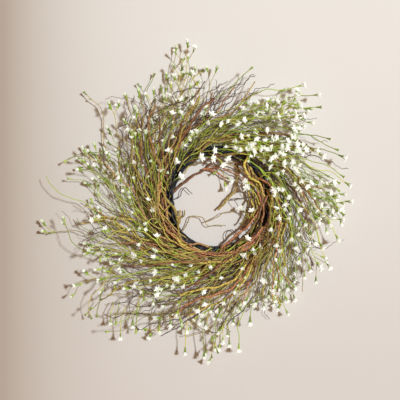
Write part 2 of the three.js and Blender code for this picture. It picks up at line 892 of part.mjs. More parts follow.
function holeStems({ kind, stems }) {
  const grown = [];
  for (const { from, to, on, at, path, flower: size } of stems) {
    const points = path.map(([x, y, z]) => new THREE.Vector3(x, y, z));
    const joined = on === undefined ? points : [along(grown[on].path, at), ...points];
    const plain = { path: joined, from, to, on, at, tapered: on !== undefined };
    const stem = size ? flower(plain, size, 0, HOLE_BLOSSOM_TILT) : { ...plain, tapered: false };
    grown.push(on === undefined ? stem : elbowed(stem, grown[on], KINDS[kind].sides));
  }
  return grown;
}

// The ring with a socket cut for the root of a leading stem
function socketed(ring, stem, sides) {
  const radius = stem.from + SOCKET_GAP;
  const root = { path: stem.path.slice(0, 3), from: radius, to: radius };
  return ring.subtract(bundleSkin([root], sides).solid());
}

// The whole wreath
const ROUGHNESS = 0.8;
const RING_COLOUR = 0x16161a;
const RING_ROUGHNESS = 0.45;
const wreath = new THREE.Group();
let ring = ringSolid();
const made = { T: 0, B: 0, D: 0 };
TIERS.forEach(({ shift, bundles }, tier) => {
  [...bundles].forEach((letter, sector) => {
    const kind = KINDS[letter];
    const middle = (2 * Math.PI * (sector + shift)) / SECTORS;
    const order = tier * SECTORS + sector + 1;
    const stems = growBundle({ tier, kind, middle, draw: seeded(SEEDS[order] ?? order) });
    made[letter]++;
    const name = kind.name + "_" + String(made[letter]).padStart(2, "0");
    wreath.add(namedMesh(name, bundleSkin(stems, kind.sides).solid(), kind.colour, ROUGHNESS));
    ring = socketed(ring, stems[0], kind.sides);
  });
});
for (const piece of HOLE_PIECES) {
  const { sides, colour } = KINDS[piece.kind];
  const stems = holeStems(piece);
  wreath.add(namedMesh(piece.name, bundleSkin(stems, sides).solid(), colour, ROUGHNESS));
  ring = socketed(ring, stems[0], sides);
}
wreath.add(namedMesh("base_ring", ring, RING_COLOUR, RING_ROUGHNESS));

// The frame's origin is under the middle of the whole wreath
const middle = new THREE.Box3().setFromObject(wreath).getCenter(new THREE.Vector3());
wreath.children.forEach(({ geometry }) => geometry.translate(-middle.x, -middle.y, 0));

export default wreath;
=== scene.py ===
"""Looks of the twig wreath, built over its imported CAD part.

The wreath lies on its back and the camera looks straight down at its face. Lengths in the growth
are millimetres about the ring's centre. The growth repeats the part's own rule with the same seeded
draws, so that each stem seen here follows its solid.
"""

import logging
import math
from dataclasses import dataclass, field, replace
from enum import Enum
from typing import Callable, Sequence, TypeAlias

import bpy
import numpy as np
from mathutils import Matrix, Vector


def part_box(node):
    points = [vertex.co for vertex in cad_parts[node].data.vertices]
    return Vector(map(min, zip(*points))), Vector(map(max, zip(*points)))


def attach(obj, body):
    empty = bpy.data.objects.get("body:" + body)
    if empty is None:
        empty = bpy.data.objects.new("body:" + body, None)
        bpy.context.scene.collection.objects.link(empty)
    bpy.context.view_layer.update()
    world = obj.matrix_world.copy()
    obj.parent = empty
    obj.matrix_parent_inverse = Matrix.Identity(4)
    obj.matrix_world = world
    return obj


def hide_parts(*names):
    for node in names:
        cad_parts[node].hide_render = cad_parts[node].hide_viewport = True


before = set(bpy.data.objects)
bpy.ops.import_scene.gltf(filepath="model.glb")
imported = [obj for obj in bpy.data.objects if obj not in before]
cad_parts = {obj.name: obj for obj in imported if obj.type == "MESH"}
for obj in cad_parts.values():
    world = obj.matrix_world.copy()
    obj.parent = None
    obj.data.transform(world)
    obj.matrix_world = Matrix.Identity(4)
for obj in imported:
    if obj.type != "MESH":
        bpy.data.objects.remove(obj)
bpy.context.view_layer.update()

log = logging.getLogger("wreath")
MM = 0.001
UP = np.array([0.0, 0.0, 1.0])
DOWN = np.array([0.0, 0.0, -1.0])
BODY = "root"
LEAST_LENGTH = 1e-6
FULL_SPIN = 6.28
BUNDLE_SEED = 1000
HOLE_SEED = 2000
RING_SEED = 3000


# ------------------------------------------------------------------ growth, the same as the part's


class Kind(Enum):
    """The three kinds of bundle, by the letter that a tier's pattern names them with."""

    BLOSSOM = "B"
    BARK = "T"
    TENDRIL = "D"


@dataclass(frozen=True)
class Habit:
    """How the stems of one kind of bundle grow."""

    name: str
    sides: int
    root_radius: float
    tip_radius: float
    stems: int
    points: int
    wiggle: float
    wave: float
    reach: float
    shortest: float
    first_joint: float
    joint_step: float


@dataclass(frozen=True)
class Tier:
    """One layer of bundles: how far it turns, where its roots leave the ring, and its bundles."""

    turn: float
    root_tilt: float
    out_radius: float
    shift: float
    bundles: str


RING_RADIUS = 97.0
RING_TUBE = 9.0
RING_SIDES = 8
RING_FLAT = RING_TUBE * math.cos(math.pi / RING_SIDES)
SOCKET_DEPTH = 4.5
SECTORS = 13
SECTOR_HALF = math.pi / SECTORS
TURN_LENGTH = 50.0
ROOT_RUN = 14.0
ROOT_GAP = 0.8
LOOSENING = 60.0
ROLL_WAVES = 1.4
FIRST_STEP = 0.15
STEP_GROWTH = 1.3
CLEARANCE = 0.6
STRIP_PLAY = 0.14
STEM_HEIGHTS = (-0.9, 0.5)
STEM_ROLLS = (0.1, 0.5)
RIM_RADIUS = 300.0
SPREAD_POWER = 0.8
NEAR_LEVELS = (2.0, 10.5, 19.0, 28.0, 40.0)
FAR_LEVELS = (3.0, 22.0, 42.0, 62.0, 84.0)
LEVEL_GAP = 0.3
RIM_LIFTS = ((7.0, 2, 1.0), (3.0, 3, 2.4))
TIERS = (
    Tier(2.15, -20, 117, 0.1, "BDBTBDBDBDBBD"),
    Tier(2.0, 30, 115, 0.55, "BBDBTBDBTBDBT"),
    Tier(1.85, 75, 108, 0.3, "BTDBTBTBDBTBD"),
    Tier(1.6, 130, 98, 0.8, "TBTTBDTBTTBDT"),
)
REACH = 260.0
REACH_LEAN = 18.0
REACH_LEAN_AZIMUTH = 170
LONG_SPRAYS = ((102, 322), (188, 353), (212, 318), (244, 304), (264, 310))
BLOSSOMS = 11.5
BLOSSOM_LEAN = 4.0
BLOSSOM_LEAN_AZIMUTH = 20
INNERMOST_BLOSSOM = (188.0, 188.0, 188.0, 140.0)
MAIN_BLOSSOM = (0.88, 1.06)
SIDE_BLOSSOM = (0.78, 1.0)
BLOSSOM_TURN = (-0.35, 0.35)
BLOSSOM_TILT = (-0.05, 0.4)
SIDE_STEM = ((0.05, 3.6), (24.0, 36.0), (0.35, 0.75))
FORK = ((0.6, 2.4), (30.0, 55.0), (0.3, 0.6))
FORK_RADII = (1.5, 1.1)
UNFORKED = 0.25
SEEDS = {4: 104, 5: 305, 11: 111, 28: 328, 38: 338}
HABITS = {
    Kind.BLOSSOM: Habit("blossom_spray", 3, 1.4, 0.85, 4, 5, 1.5, 90, 1, 0.66, 3, 14),
    Kind.BARK: Habit("bark_twigs", 4, 2.3, 1.5, 3, 5, 2.5, 75, 0.86, 0.68, 24, 18),
    Kind.TENDRIL: Habit("dark_tendrils", 3, 1.3, 0.8, 3, 7, 6, 40, 0.97, 0.72, 3, 14),
}
SLEEVE_LENGTH = 11.0
SLEEVE_RADIUS = 2.1
PETAL_RADIUS = 6.6
BUD_LENGTH = 3.0
BUD_MARGIN = (0.6, 4.0)
BUD_SPACING = 7.0
JOINT_PLAY = 3.0
LEAST_LEAD = 0.94
FOLLOWER_SHARE = 0.85
LEAST_AHEAD = 14.0
LEAST_ALIGNMENT = 0.35
TRIES = 80
GOOD_TRIES = 3
TEST_STEP = 5.0
JOINT_LENGTH = 6.5
LEAST_CLEARANCE = 0.2
STRAIGHT_ALIGNMENT = 0.9
STRAIGHT_SLOPE = 0.36
LONG_SPRAY_TIERS = 2
LEAST_SQUARE = 1e-12
ELBOW_SLOPE = 0.5
ELBOW_GAP = 0.5
HOLE_BLOSSOM_TILT = 0.15


class Draw:
    """Park and Miller's generator, so that the same seed always grows the same bundle."""

    modulus = 2147483647
    factor = 16807
    seed_factor = 7919
    seed_offset = 104729
    warm_up = 4

    def __init__(self, seed: int) -> None:
        """Start from a seed.

        Args:
            seed: a whole number.
        """
        self.state = (seed * self.seed_factor + self.seed_offset) % self.modulus
        for _ in range(self.warm_up):
            self()

    def __call__(self, low: float = 0.0, high: float = 1.0) -> float:
        """Return the next number from low to high."""
        self.state = (self.state * self.factor) % self.modulus
        return low + ((high - low) * self.state) / self.modulus


@dataclass
class Blossom:
    """One blossom: the middle of its petals, the way it faces, and its size against a full one."""

    centre: np.ndarray
    facing: np.ndarray
    size: float


@dataclass
class Stem:
    """One stem of a bundle, and where it grows on another."""

    path: list[np.ndarray]
    radius: float
    tip: float
    on: int | None = None
    at: float = 0.0
    tapered: bool = False
    blossom: Blossom | None = None

    def line(self) -> list[np.ndarray]:
        """Return the path with the place of the blossom."""
        return [*self.path, self.blossom.centre] if self.blossom else self.path

    def girth(self, count: int, step: int, share: float) -> float:
        """Return how thick the stem is part of the way along one step of its line.

        Args:
            count: points of its line.
            step: the step.
            share: how far along that step, from 0 to 1.

        Returns:
            A radius, up to the petals.
        """
        if self.tapered:
            return mix(self.radius, SLEEVE_RADIUS, (step + share) / (count - 1))
        return SLEEVE_RADIUS if self.blossom and step + 2 == count else self.radius


def mix(low: float, high: float, share: float) -> float:
    """Return the number a share of the way from low to high."""
    return (1 - share) * low + share * high


def clamp(value: float, low: float, high: float) -> float:
    """Return the value kept from low to high."""
    return max(low, min(high, value))


def unit(vector: np.ndarray) -> np.ndarray:
    """Return a vector at length one."""
    return vector / math.sqrt(float(vector @ vector))


def length_of(vector: np.ndarray) -> float:
    """Return a vector's length."""
    return math.sqrt(float(vector @ vector))


def turned(vector: np.ndarray, axis: np.ndarray, angle: float) -> np.ndarray:
    """Return a vector turned about an axis of length one.

    Args:
        vector: the vector.
        axis: the axis.
        angle: radians.

    Returns:
        The turned vector.
    """
    cosine, sine = math.cos(angle), math.sin(angle)
    lengthwise = axis * float(axis @ vector) * (1 - cosine)
    return vector * cosine + np.cross(axis, vector) * sine + lengthwise


def on_cylinder(radius: float, azimuth: float, z: float) -> np.ndarray:
    """Return the point at a radius, azimuth and height."""
    return np.array([radius * math.cos(azimuth), radius * math.sin(azimuth), z])


def turn_at(tier: int, radius: float) -> float:
    """Return how far a tier has turned clockwise by a radius, in radians."""
    return TIERS[tier].turn * (1 - math.exp(-(radius - RING_RADIUS) / TURN_LENGTH))


def square_share(tier: int, radius: float) -> float:
    """Return the share of a sector's width that lies square to its stems."""
    slope = math.exp(-(radius - RING_RADIUS) / TURN_LENGTH) / TURN_LENGTH
    return 1 / math.hypot(1, radius * TIERS[tier].turn * slope)


def square_rise(tier: int, radius: float) -> float:
    """Return how much farther out a point lies for each radian moved square to the stems."""
    share = square_share(tier, radius)
    return radius * share * math.sqrt(1 - share * share)


def room_at(tier: int, radius: float, girth: float) -> float:
    """Return half a sector's angle, less what a stem of this girth needs."""
    return max(0.0, SECTOR_HALF - (girth + CLEARANCE) / (radius * square_share(tier, radius)))


def tier_point(tier: int, angle: float, radius: float, height: float, girth: float) -> np.ndarray:
    """Return a point of a tier.

    Args:
        tier: the tier, from 0 at the back.
        angle: the sector angle, before the tier's turn.
        radius: distance from the ring's axis.
        height: place between the tier's levels, from -1 to 1.
        girth: the stem's radius there.

    Returns:
        The point in millimetres.
    """
    azimuth = angle - turn_at(tier, radius)
    inner = RING_RADIUS + RING_TUBE
    share = clamp((radius - inner) / (RIM_RADIUS - inner), 0, 1) ** SPREAD_POWER
    low = mix(NEAR_LEVELS[tier], FAR_LEVELS[tier], share)
    high = mix(NEAR_LEVELS[tier + 1], FAR_LEVELS[tier + 1], share)
    lift = sum(by * (1 + math.sin(waves * azimuth + phase)) for by, waves, phase in RIM_LIFTS)
    room = max(0.0, (high - low) / 2 - girth - LEVEL_GAP)
    return on_cylinder(radius, azimuth, (low + high) / 2 + share * lift + height * room)


def along(path: Sequence[np.ndarray], step: float) -> np.ndarray:
    """Return the point part of the way along a path, counted in its steps."""
    whole = min(math.floor(step), len(path) - 2)
    return path[whole] + (path[whole + 1] - path[whole]) * (step - whole)


def forward_at(path: Sequence[np.ndarray], step: float) -> np.ndarray:
    """Return the way a path goes at a step."""
    span = min(math.floor(step), len(path) - 2)
    return unit(path[span + 1] - path[span])


def step_at(path: Sequence[np.ndarray], distance: float) -> float:
    """Find the step of a path at a distance from its start.

    Args:
        path: its points.
        distance: millimetres.

    Returns:
        The step, with a fraction.
    """
    left = distance
    for i in range(len(path) - 1):
        length = length_of(path[i + 1] - path[i])
        if left < length:
            return i + left / length
        left -= length
    return len(path) - 1


def flower(stem: Stem, size: float, turn: float, tilt: float) -> Stem:
    """Put a blossom at a stem's end.

    Args:
        stem: the bare stem.
        size: size against a full blossom.
        turn: how much it turns to the side.
        tilt: how much it turns up.

    Returns:
        The stem, cut back to the blossom's sleeve.
    """
    before, centre = stem.path[-2], stem.path[-1]
    facing = unit(centre - before)
    facing = unit(facing + unit(np.cross(UP, facing)) * turn + UP * tilt)
    neck = centre - facing * SLEEVE_LENGTH * size
    return replace(stem, path=[*stem.path[:-1], neck], blossom=Blossom(centre, facing, size))


def edge_direction(forward: np.ndarray, angle: float) -> np.ndarray:
    """Return the way that an edge of a stem faces, turned by an angle round the stem."""
    return turned(unit(DOWN - forward * float(DOWN @ forward)), forward, angle)


def clearance_of(stem: Stem, others: list[Stem]) -> float:
    """Return the room between a new stem and the others, at the tightest place past its joint.

    Args:
        stem: the new stem.
        others: the bundle's stems so far.

    Returns:
        Millimetres.
    """
    line = stem.line()
    points, girths = [], []
    for i in range(len(line) - 1):
        steps = math.ceil(length_of(line[i + 1] - line[i]) / TEST_STEP)
        for k in range(1, steps + 1):
            petals = stem.blossom and i + 2 == len(line) and k == steps
            points.append(line[i] + (line[i + 1] - line[i]) * (k / steps))
            girths.append(PETAL_RADIUS if petals else stem.girth(len(line), i, k / steps))
    starts, ways, sizes, owners = [], [], [], []
    for index, other in enumerate(others):
        whole = other.line()
        for j in range(len(whole) - 1):
            starts.append(whole[j])
            ways.append(whole[j + 1] - whole[j])
            sizes.append(other.girth(len(whole), j, 1))
            owners.append(index)
        if other.blossom:
            starts.append(other.blossom.centre)
            ways.append(np.zeros(3))
            sizes.append(PETAL_RADIUS)
            owners.append(index)
    point, start, way = np.array(points), np.array(starts), np.array(ways)
    offset = point[:, None, :] - start[None, :, :]
    share = (offset * way).sum(2) / np.maximum((way * way).sum(1), LEAST_SQUARE)
    offset -= np.clip(share, 0, 1)[:, :, None] * way
    gaps = np.sqrt((offset * offset).sum(2)) - np.array(girths)[:, None] - np.array(sizes)
    near = np.sqrt(((point - line[0]) ** 2).sum(1)) < JOINT_LENGTH
    gaps[near[:, None] & (np.array(owners) == stem.on)] = math.inf
    return float(gaps.min())


def elbowed(aimed: Stem, parent: Stem, sides: int) -> Stem | None:
    """Move a new stem's joint clear of its span's ends, and give it an elbow if it leaves aslant.

    Args:
        aimed: the new stem.
        parent: the stem that it grows on.
        sides: sides of the solid's stems.

    Returns:
        The stem, or None if no edge of the parent faces its way.
    """
    span = min(math.floor(aimed.at), len(parent.path) - 2)
    length = length_of(parent.path[span + 1] - parent.path[span])
    half = (BUD_LENGTH * aimed.radius) / 2 / length
    behind, before = half + BUD_MARGIN[0] / length, half + BUD_MARGIN[1] / length
    at = span + clamp(aimed.at - span, behind, 1 - before)
    stem = replace(aimed, at=at, path=[along(parent.path, at), *aimed.path[1:]])
    forward = forward_at(parent.path, at)
    way = stem.path[1] - stem.path[0]
    ahead = float(way @ forward)
    aside = way - forward * ahead
    best = None
    for k in range(sides):
        edge = edge_direction(forward, 2 * math.pi * k / sides)
        if best is None or float(edge @ aside) > float(best @ aside):
            best = edge
    alignment = float(best @ aside) / length_of(aside)
    if alignment < LEAST_ALIGNMENT:
        return None
    if alignment > STRAIGHT_ALIGNMENT and length_of(aside) > STRAIGHT_SLOPE * ahead:
        return stem
    rise = mix(parent.radius, parent.tip, at / (len(parent.path) - 1)) + stem.radius + ELBOW_GAP
    elbow = stem.path[0] + best * rise + forward * (rise / ELBOW_SLOPE)
    return replace(stem, path=[stem.path[0], elbow, *stem.path[1:]])


@dataclass
class Place:
    """A stem's place in its sector, from -1 to 1 to the side and in height, and how it rolls."""

    side: float
    height: float
    roll: float
    phase: float


@dataclass
class Bundle:
    """One bundle of stems: where it is and how it grows."""

    name: str
    tier: int
    kind: Kind
    middle: float
    draw: Draw
    stems: list[Stem] = field(default_factory=list)

    @property
    def habit(self) -> Habit:
        """Return how this kind grows."""
        return HABITS[self.kind]

    @property
    def tip_azimuth(self) -> float:
        """Return the azimuth that the bundle reaches at the rim."""
        return self.middle - turn_at(self.tier, REACH)

    def reach(self) -> tuple[float, float]:
        """Find how far stems reach round here.

        Returns:
            The radius that most reach, and the one that the longest reaches.
        """
        azimuth = self.tip_azimuth
        around = REACH + REACH_LEAN * math.cos(azimuth - math.radians(REACH_LEAN_AZIMUTH))
        for degrees, reach in LONG_SPRAYS:
            near = math.cos(azimuth - math.radians(degrees)) > math.cos(SECTOR_HALF)
            if self.tier < LONG_SPRAY_TIERS and near:
                return around, reach
        return around, around

    def place_of(self, strip: int) -> Place:
        """Draw a stem's place in its own strip of the sector.

        Args:
            strip: the strip, counted from one side.

        Returns:
            The place.
        """
        draw = self.draw
        side = clamp((2 * strip + 1) / self.habit.stems - 1 + draw(-STRIP_PLAY, STRIP_PLAY), -1, 1)
        return Place(side, draw(*STEM_HEIGHTS), draw(*STEM_ROLLS), draw(0, 2 * math.pi))

    def inside(self, aim: np.ndarray, height: float, girth: float) -> np.ndarray:
        """Bring a point into the bundle's own part of its tier.

        Args:
            aim: the point aimed at.
            height: place between the tier's levels, from -1 to 1.
            girth: the stem's radius there.

        Returns:
            The nearest point inside.
        """
        radius = math.hypot(aim[0], aim[1])
        azimuth = math.atan2(aim[1], aim[0]) + turn_at(self.tier, radius) - self.middle
        side = math.atan2(math.sin(azimuth), math.cos(azimuth))
        room = room_at(self.tier, radius, girth)
        inside = clamp(side, -room, room)
        abreast = radius + (inside - side) * square_rise(self.tier, radius)
        return tier_point(self.tier, self.middle + inside, abreast, height, girth)

    def root_route(self) -> list[np.ndarray]:
        """Find the leading stem's first points.

        Returns:
            Three points: sunk in the ring, outside it, and in the bundle's tier.
        """
        tier, habit = TIERS[self.tier], self.habit
        tilt = math.radians(tier.root_tilt)
        sunk = RING_FLAT - SOCKET_DEPTH
        clear = RING_FLAT + habit.root_radius + ROOT_GAP
        sunk_radius = RING_RADIUS + sunk * math.cos(tilt)
        clear_radius = RING_RADIUS + clear * math.cos(tilt)
        leaving = self.middle - turn_at(self.tier, clear_radius)
        root = leaving + ROOT_RUN / clear_radius
        return [
            on_cylinder(sunk_radius, root, RING_FLAT + sunk * math.sin(tilt)),
            on_cylinder(clear_radius, leaving, RING_FLAT + clear * math.sin(tilt)),
            tier_point(self.tier, self.middle, tier.out_radius, 0, habit.root_radius),
        ]

    def route(self, place: Place, start: float, end: float, tip_girth: float) -> list[np.ndarray]:
        """Return a stem's points past its start, out to its tip.

        Args:
            place: its place in the sector.
            start: radius at which it starts.
            end: radius at which it ends.
            tip_girth: the room that its tip needs.

        Returns:
            The points.
        """
        habit, tier, points = self.habit, self.tier, []
        for i in range(1, habit.points + 1):
            share = (i - FIRST_STEP) / (habit.points - FIRST_STEP)
            middle = mix(start, end, share**STEP_GROWTH)
            aside = place.side * room_at(tier, middle, habit.root_radius)
            radius = middle + (1 - share) * aside * square_rise(tier, middle)
            girth = habit.root_radius if i < habit.points else tip_girth
            room = room_at(tier, radius, girth)
            loose = clamp((radius - TIERS[tier].out_radius) / LOOSENING, 0, 1)
            wave = (2 * math.pi * radius) / habit.wave
            wander = habit.wiggle * math.sin(wave + place.phase)
            aslant = (loose * wander) / (radius * square_share(tier, radius))
            side = clamp(place.side * room + aslant, -room, room)
            roll = loose * place.roll * math.sin(wave / ROLL_WAVES + 2 * place.phase)
            height = clamp(place.height + roll, -1, 1)
            points.append(tier_point(tier, self.middle + side, radius, height, girth))
        return points

    def facing_out(self, stem: Stem, sizes: tuple[float, float]) -> Stem:
        """Return a stem with a blossom of a drawn size, that faces a drawn way."""
        return flower(stem, self.draw(*sizes), self.draw(*BLOSSOM_TURN), self.draw(*BLOSSOM_TILT))

    def clearest(self, attempt: Callable[[], Stem]) -> Stem | None:
        """Try several times for a stem that keeps away from the others and their joints.

        Args:
            attempt: draws one stem.

        Returns:
            The clearest stem, or None if each try came too close.
        """
        best, best_clearance, found = None, 0.0, 0
        for _ in range(TRIES):
            if found == GOOD_TRIES:
                break
            aimed = attempt()
            siblings = [s for s in self.stems if s.on is not None and s.on == aimed.on]
            if any(length_of(s.path[0] - aimed.path[0]) < BUD_SPACING for s in siblings):
                continue
            stem = elbowed(aimed, self.stems[aimed.on], self.habit.sides)
            if stem is None:
                continue
            clearance = clearance_of(stem, self.stems)
            if clearance < LEAST_CLEARANCE:
                continue
            found += 1
            if best is None or clearance > best_clearance:
                best, best_clearance = stem, clearance
        return best

    def grow(self) -> None:
        """Grow every stem: the leading one, those that fan out from it, and their side stems."""
        habit, draw, bears = self.habit, self.draw, self.kind is Kind.BLOSSOM
        around, longest = self.reach()
        girth = PETAL_RADIUS if bears else habit.root_radius
        full = around * habit.reach
        shortest = max(full * habit.shortest, INNERMOST_BLOSSOM[self.tier] if bears else 0)
        lead = habit.stems // 2
        place = self.place_of(lead)
        end = (longest if bears else full) * draw(LEAST_LEAD, 1)
        path = self.root_route() + self.route(place, TIERS[self.tier].out_radius, end, girth)
        first = Stem(path, habit.root_radius, habit.tip_radius)
        self.stems = [self.facing_out(first, MAIN_BLOSSOM) if bears else first]
        outside = length_of(path[0] - path[1]) + length_of(path[1] - path[2])
        for strip in range(habit.stems):
            if strip == lead:
                continue
            end = draw(shortest, full)
            joint = outside + habit.first_joint + (len(self.stems) - 1) * habit.joint_step
            grown = self.clearest(lambda: self.follower(strip, joint, end, girth))
            if grown:
                self.stems.append(grown)
        if bears:
            lean = BLOSSOM_LEAN * math.cos(self.tip_azimuth - math.radians(BLOSSOM_LEAN_AZIMUTH))
            self.add_side_blossoms(math.floor(BLOSSOMS + lean + 0.5))
        if self.kind is Kind.BARK:
            self.add_forks()

    def follower(self, strip: int, joint: float, end: float, girth: float) -> Stem:
        """Return a try at a stem that fans out from the leading one.

        Args:
            strip: its strip of the sector.
            joint: how far along the leading stem it starts.
            end: the radius at which it ends.
            girth: the room that its tip needs.

        Returns:
            The stem.
        """
        habit, lead = self.habit, self.stems[0].path
        place = self.place_of(strip)
        at = step_at(lead, joint + self.draw(-JOINT_PLAY, JOINT_PLAY))
        start, forward = along(lead, at), forward_at(lead, at)
        route = self.route(place, math.hypot(start[0], start[1]), end, girth)
        ahead = [point for point in route if float((point - start) @ forward) > LEAST_AHEAD]
        stem = Stem([start, *ahead], FOLLOWER_SHARE * habit.root_radius, habit.tip_radius, 0, at)
        return self.facing_out(stem, MAIN_BLOSSOM) if self.kind is Kind.BLOSSOM else stem

    def side_aim(self, main: Stem, aims: tuple, girth: float) -> tuple[float, list[np.ndarray]]:
        """Aim a side stem.

        Args:
            main: the stem that it grows on.
            aims: ranges of how far before the tip it starts, its length, and its angle.
            girth: the room that its end needs.

        Returns:
            The step at which it starts on the main stem, and its start and end.
        """
        draw = self.draw
        starts, reaches, angles = aims
        at = len(main.path) - 1 - draw(*starts)
        start = along(main.path, at)
        reach = draw(*reaches)
        angle = draw(*angles)
        angle *= -1 if draw() < 0.5 else 1
        forward = turned(forward_at(main.path, at), UP, angle)
        end = self.inside(start + forward * reach, draw(-1, 1), girth)
        return at, [start, end]

    def add_side_blossoms(self, count: int) -> None:
        """Grow short side stems with a blossom each.

        Args:
            count: how many stems the bundle gets in all.
        """
        mains, radius = len(self.stems), self.habit.tip_radius

        def attempt(on: int) -> Stem:
            """Draw a side stem on one of the main ones."""
            at, path = self.side_aim(self.stems[on], SIDE_STEM, PETAL_RADIUS)
            return self.facing_out(Stem(path, radius, radius, on, at, True), SIDE_BLOSSOM)

        for i in range(2 * count):
            if len(self.stems) >= count:
                break
            grown = self.clearest(lambda: attempt(i % mains))
            if grown:
                self.stems.append(grown)

    def add_forks(self) -> None:
        """Grow a short fork near the end of some stems."""

        def attempt(on: int) -> Stem:
            """Draw a fork on one of the stems."""
            at, path = self.side_aim(self.stems[on], FORK, self.habit.tip_radius)
            return Stem(path, *FORK_RADII, on, at)

        for on in range(len(self.stems)):
            if self.draw() < UNFORKED:
                continue
            grown = self.clearest(lambda: attempt(on))
            if grown:
                self.stems.append(grown)


def all_bundles() -> list[Bundle]:
    """Grow every bundle of every tier.

    Returns:
        The bundles, in the part's order.
    """
    made, bundles = {kind: 0 for kind in Kind}, []
    for number, tier in enumerate(TIERS):
        for sector, letter in enumerate(tier.bundles):
            kind = Kind(letter)
            made[kind] += 1
            order = number * SECTORS + sector + 1
            name = f"{HABITS[kind].name}_{made[kind]:02d}"
            middle = 2 * math.pi * (sector + tier.shift) / SECTORS
            bundle = Bundle(name, number, kind, middle, Draw(SEEDS.get(order, order)))
            bundle.grow()
            bundles.append(bundle)
    return bundles


# ------------------------------------------------------------------ strands

TUBE_SIDES = 6
CAP_RISE = 0.35
CAP_TIP = 0.02
ROOT_HOLD = 40.0
TIP_HOLD = 25.0
SWAY_HOLD = 60.0
SWAY_PLAY = (0.7, 1.4)
SIDE_WAVES = ((1.0, 1.0), (0.4, 2.6))
HIGH_WAVES = ((0.6, 0.8), (0.3, 2.1))
SWAY_RISE = 0.4
GRAIN = (0.08, 3.7)
KNOT_LENGTH = 2.6
KNOT_SWELLS = (0.4, 1.0)
KNOT_GAPS = (0.6, 1.4)


@dataclass
class Strand:
    """One drawn-out stem: its centre line, its radius along it, and how it is tinted."""

    points: np.ndarray
    radii: np.ndarray
    tint: float
    steps: np.ndarray

    def at(self, step: float) -> np.ndarray:
        """Return the point at a step of the coarse path that the strand follows."""
        return np.array([np.interp(step, self.steps, self.points[:, k]) for k in range(3)])

    def capped(self) -> tuple[np.ndarray, np.ndarray]:
        """Add a low point over each cut end.

        Returns:
            The points, and the radius at each.
        """
        first, last = self.points[0], self.points[-1]
        before = first - unit(self.points[1] - first) * self.radii[0] * CAP_RISE
        after = last + unit(last - self.points[-2]) * self.radii[-1] * CAP_RISE
        return np.vstack([before, self.points, after]), np.array([CAP_TIP, *self.radii, CAP_TIP])


def smooth(path: Sequence[np.ndarray], spacing: float) -> tuple[np.ndarray, np.ndarray]:
    """Round a path off.

    Args:
        path: its points.
        spacing: distance between points of the smooth line.

    Returns:
        The smooth line's points, and the step of the path at each.
    """
    rough = np.array(path, float)
    ways = np.diff(rough, axis=0)
    lengths = np.maximum(np.sqrt((ways**2).sum(1)), LEAST_LENGTH)
    slopes = ways / lengths[:, None]
    tangents = np.vstack([slopes[:1], slopes[-1:]])
    if len(rough) > 2:
        before, after = lengths[:-1, None], lengths[1:, None]
        inner = (slopes[:-1] * after + slopes[1:] * before) / (before + after)
        tangents = np.vstack([slopes[:1], inner, slopes[-1:]])
    points, steps = [], []
    for i, length in enumerate(lengths):
        count = max(2, round(length / spacing))
        t = (np.arange(count) / count)[:, None]
        start, end = tangents[i] * length, tangents[i + 1] * length
        curve = (2 * t**3 - 3 * t**2 + 1) * rough[i] + (t**3 - 2 * t**2 + t) * start
        points.append(curve + (3 * t**2 - 2 * t**3) * rough[i + 1] + (t**3 - t**2) * end)
        steps.append(i + t[:, 0])
    return np.vstack([*points, rough[-1:]]), np.append(np.concatenate(steps), len(lengths))


def run_of(points: np.ndarray) -> np.ndarray:
    """Return the distance along a line at each of its points."""
    return np.append(0, np.cumsum(np.sqrt((np.diff(points, axis=0) ** 2).sum(1))))


def eased(share: np.ndarray) -> np.ndarray:
    """Return shares from 0 to 1, eased at both ends."""
    share = np.clip(share, 0, 1)
    return share * share * (3 - 2 * share)


def each_unit(vectors: np.ndarray) -> np.ndarray:
    """Return vectors at length one each."""
    return vectors / np.maximum(np.sqrt((vectors**2).sum(1)), LEAST_LENGTH)[:, None]


def waves(turn: np.ndarray, parts: Sequence, phases: Sequence[float]) -> np.ndarray:
    """Return the sum of some sines, each with its height, its pace and its phase."""
    return sum(by * np.sin(pace * turn + phase) for (by, pace), phase in zip(parts, phases))


@dataclass(frozen=True)
class Wander:
    """How a stem strays from its smooth line: how far, at which wavelength, and how much it coils.

    A held stem keeps its tip where it is. Sway is a slower and wider stray on top.
    """

    by: float
    wave: float
    coil: float = 0.0
    held: bool = False
    sway: float = 0.0
    sway_wave: float = 170.0

    def apply(self, points: np.ndarray, draw: Draw) -> np.ndarray:
        """Return the line's points, strayed.

        Args:
            points: the smooth line.
            draw: the seeded draws.

        Returns:
            The new points; the root stays, and the tip too if held.
        """
        run = run_of(points)
        left = run[-1] - run
        forward = each_unit(np.gradient(points, axis=0))
        side = each_unit(np.cross(UP, forward))
        rise = np.cross(forward, side)
        phases = [draw(0, 2 * math.pi) for _ in range(6)]
        turn = 2 * math.pi * run / self.wave
        fade = eased(run / min(ROOT_HOLD, self.wave))
        if self.held:
            fade = fade * eased(left / TIP_HOLD)
        aside = waves(turn, SIDE_WAVES, phases[0:2])
        high = waves(turn, HIGH_WAVES, phases[2:4])
        back = self.coil * np.cos(turn + phases[0])
        stray = side * aside[:, None] + rise * high[:, None] + forward * back[:, None]
        slow = 2 * math.pi * run / (self.sway_wave * draw(*SWAY_PLAY))
        ease = eased(run / SWAY_HOLD) * (eased(left / SWAY_HOLD) if self.held else 1)
        across, up = np.sin(slow + phases[4])[:, None], np.sin(slow + phases[5])[:, None]
        sway = side * across + SWAY_RISE * rise * up
        return points + stray * (self.by * fade)[:, None] + sway * (self.sway * ease)[:, None]


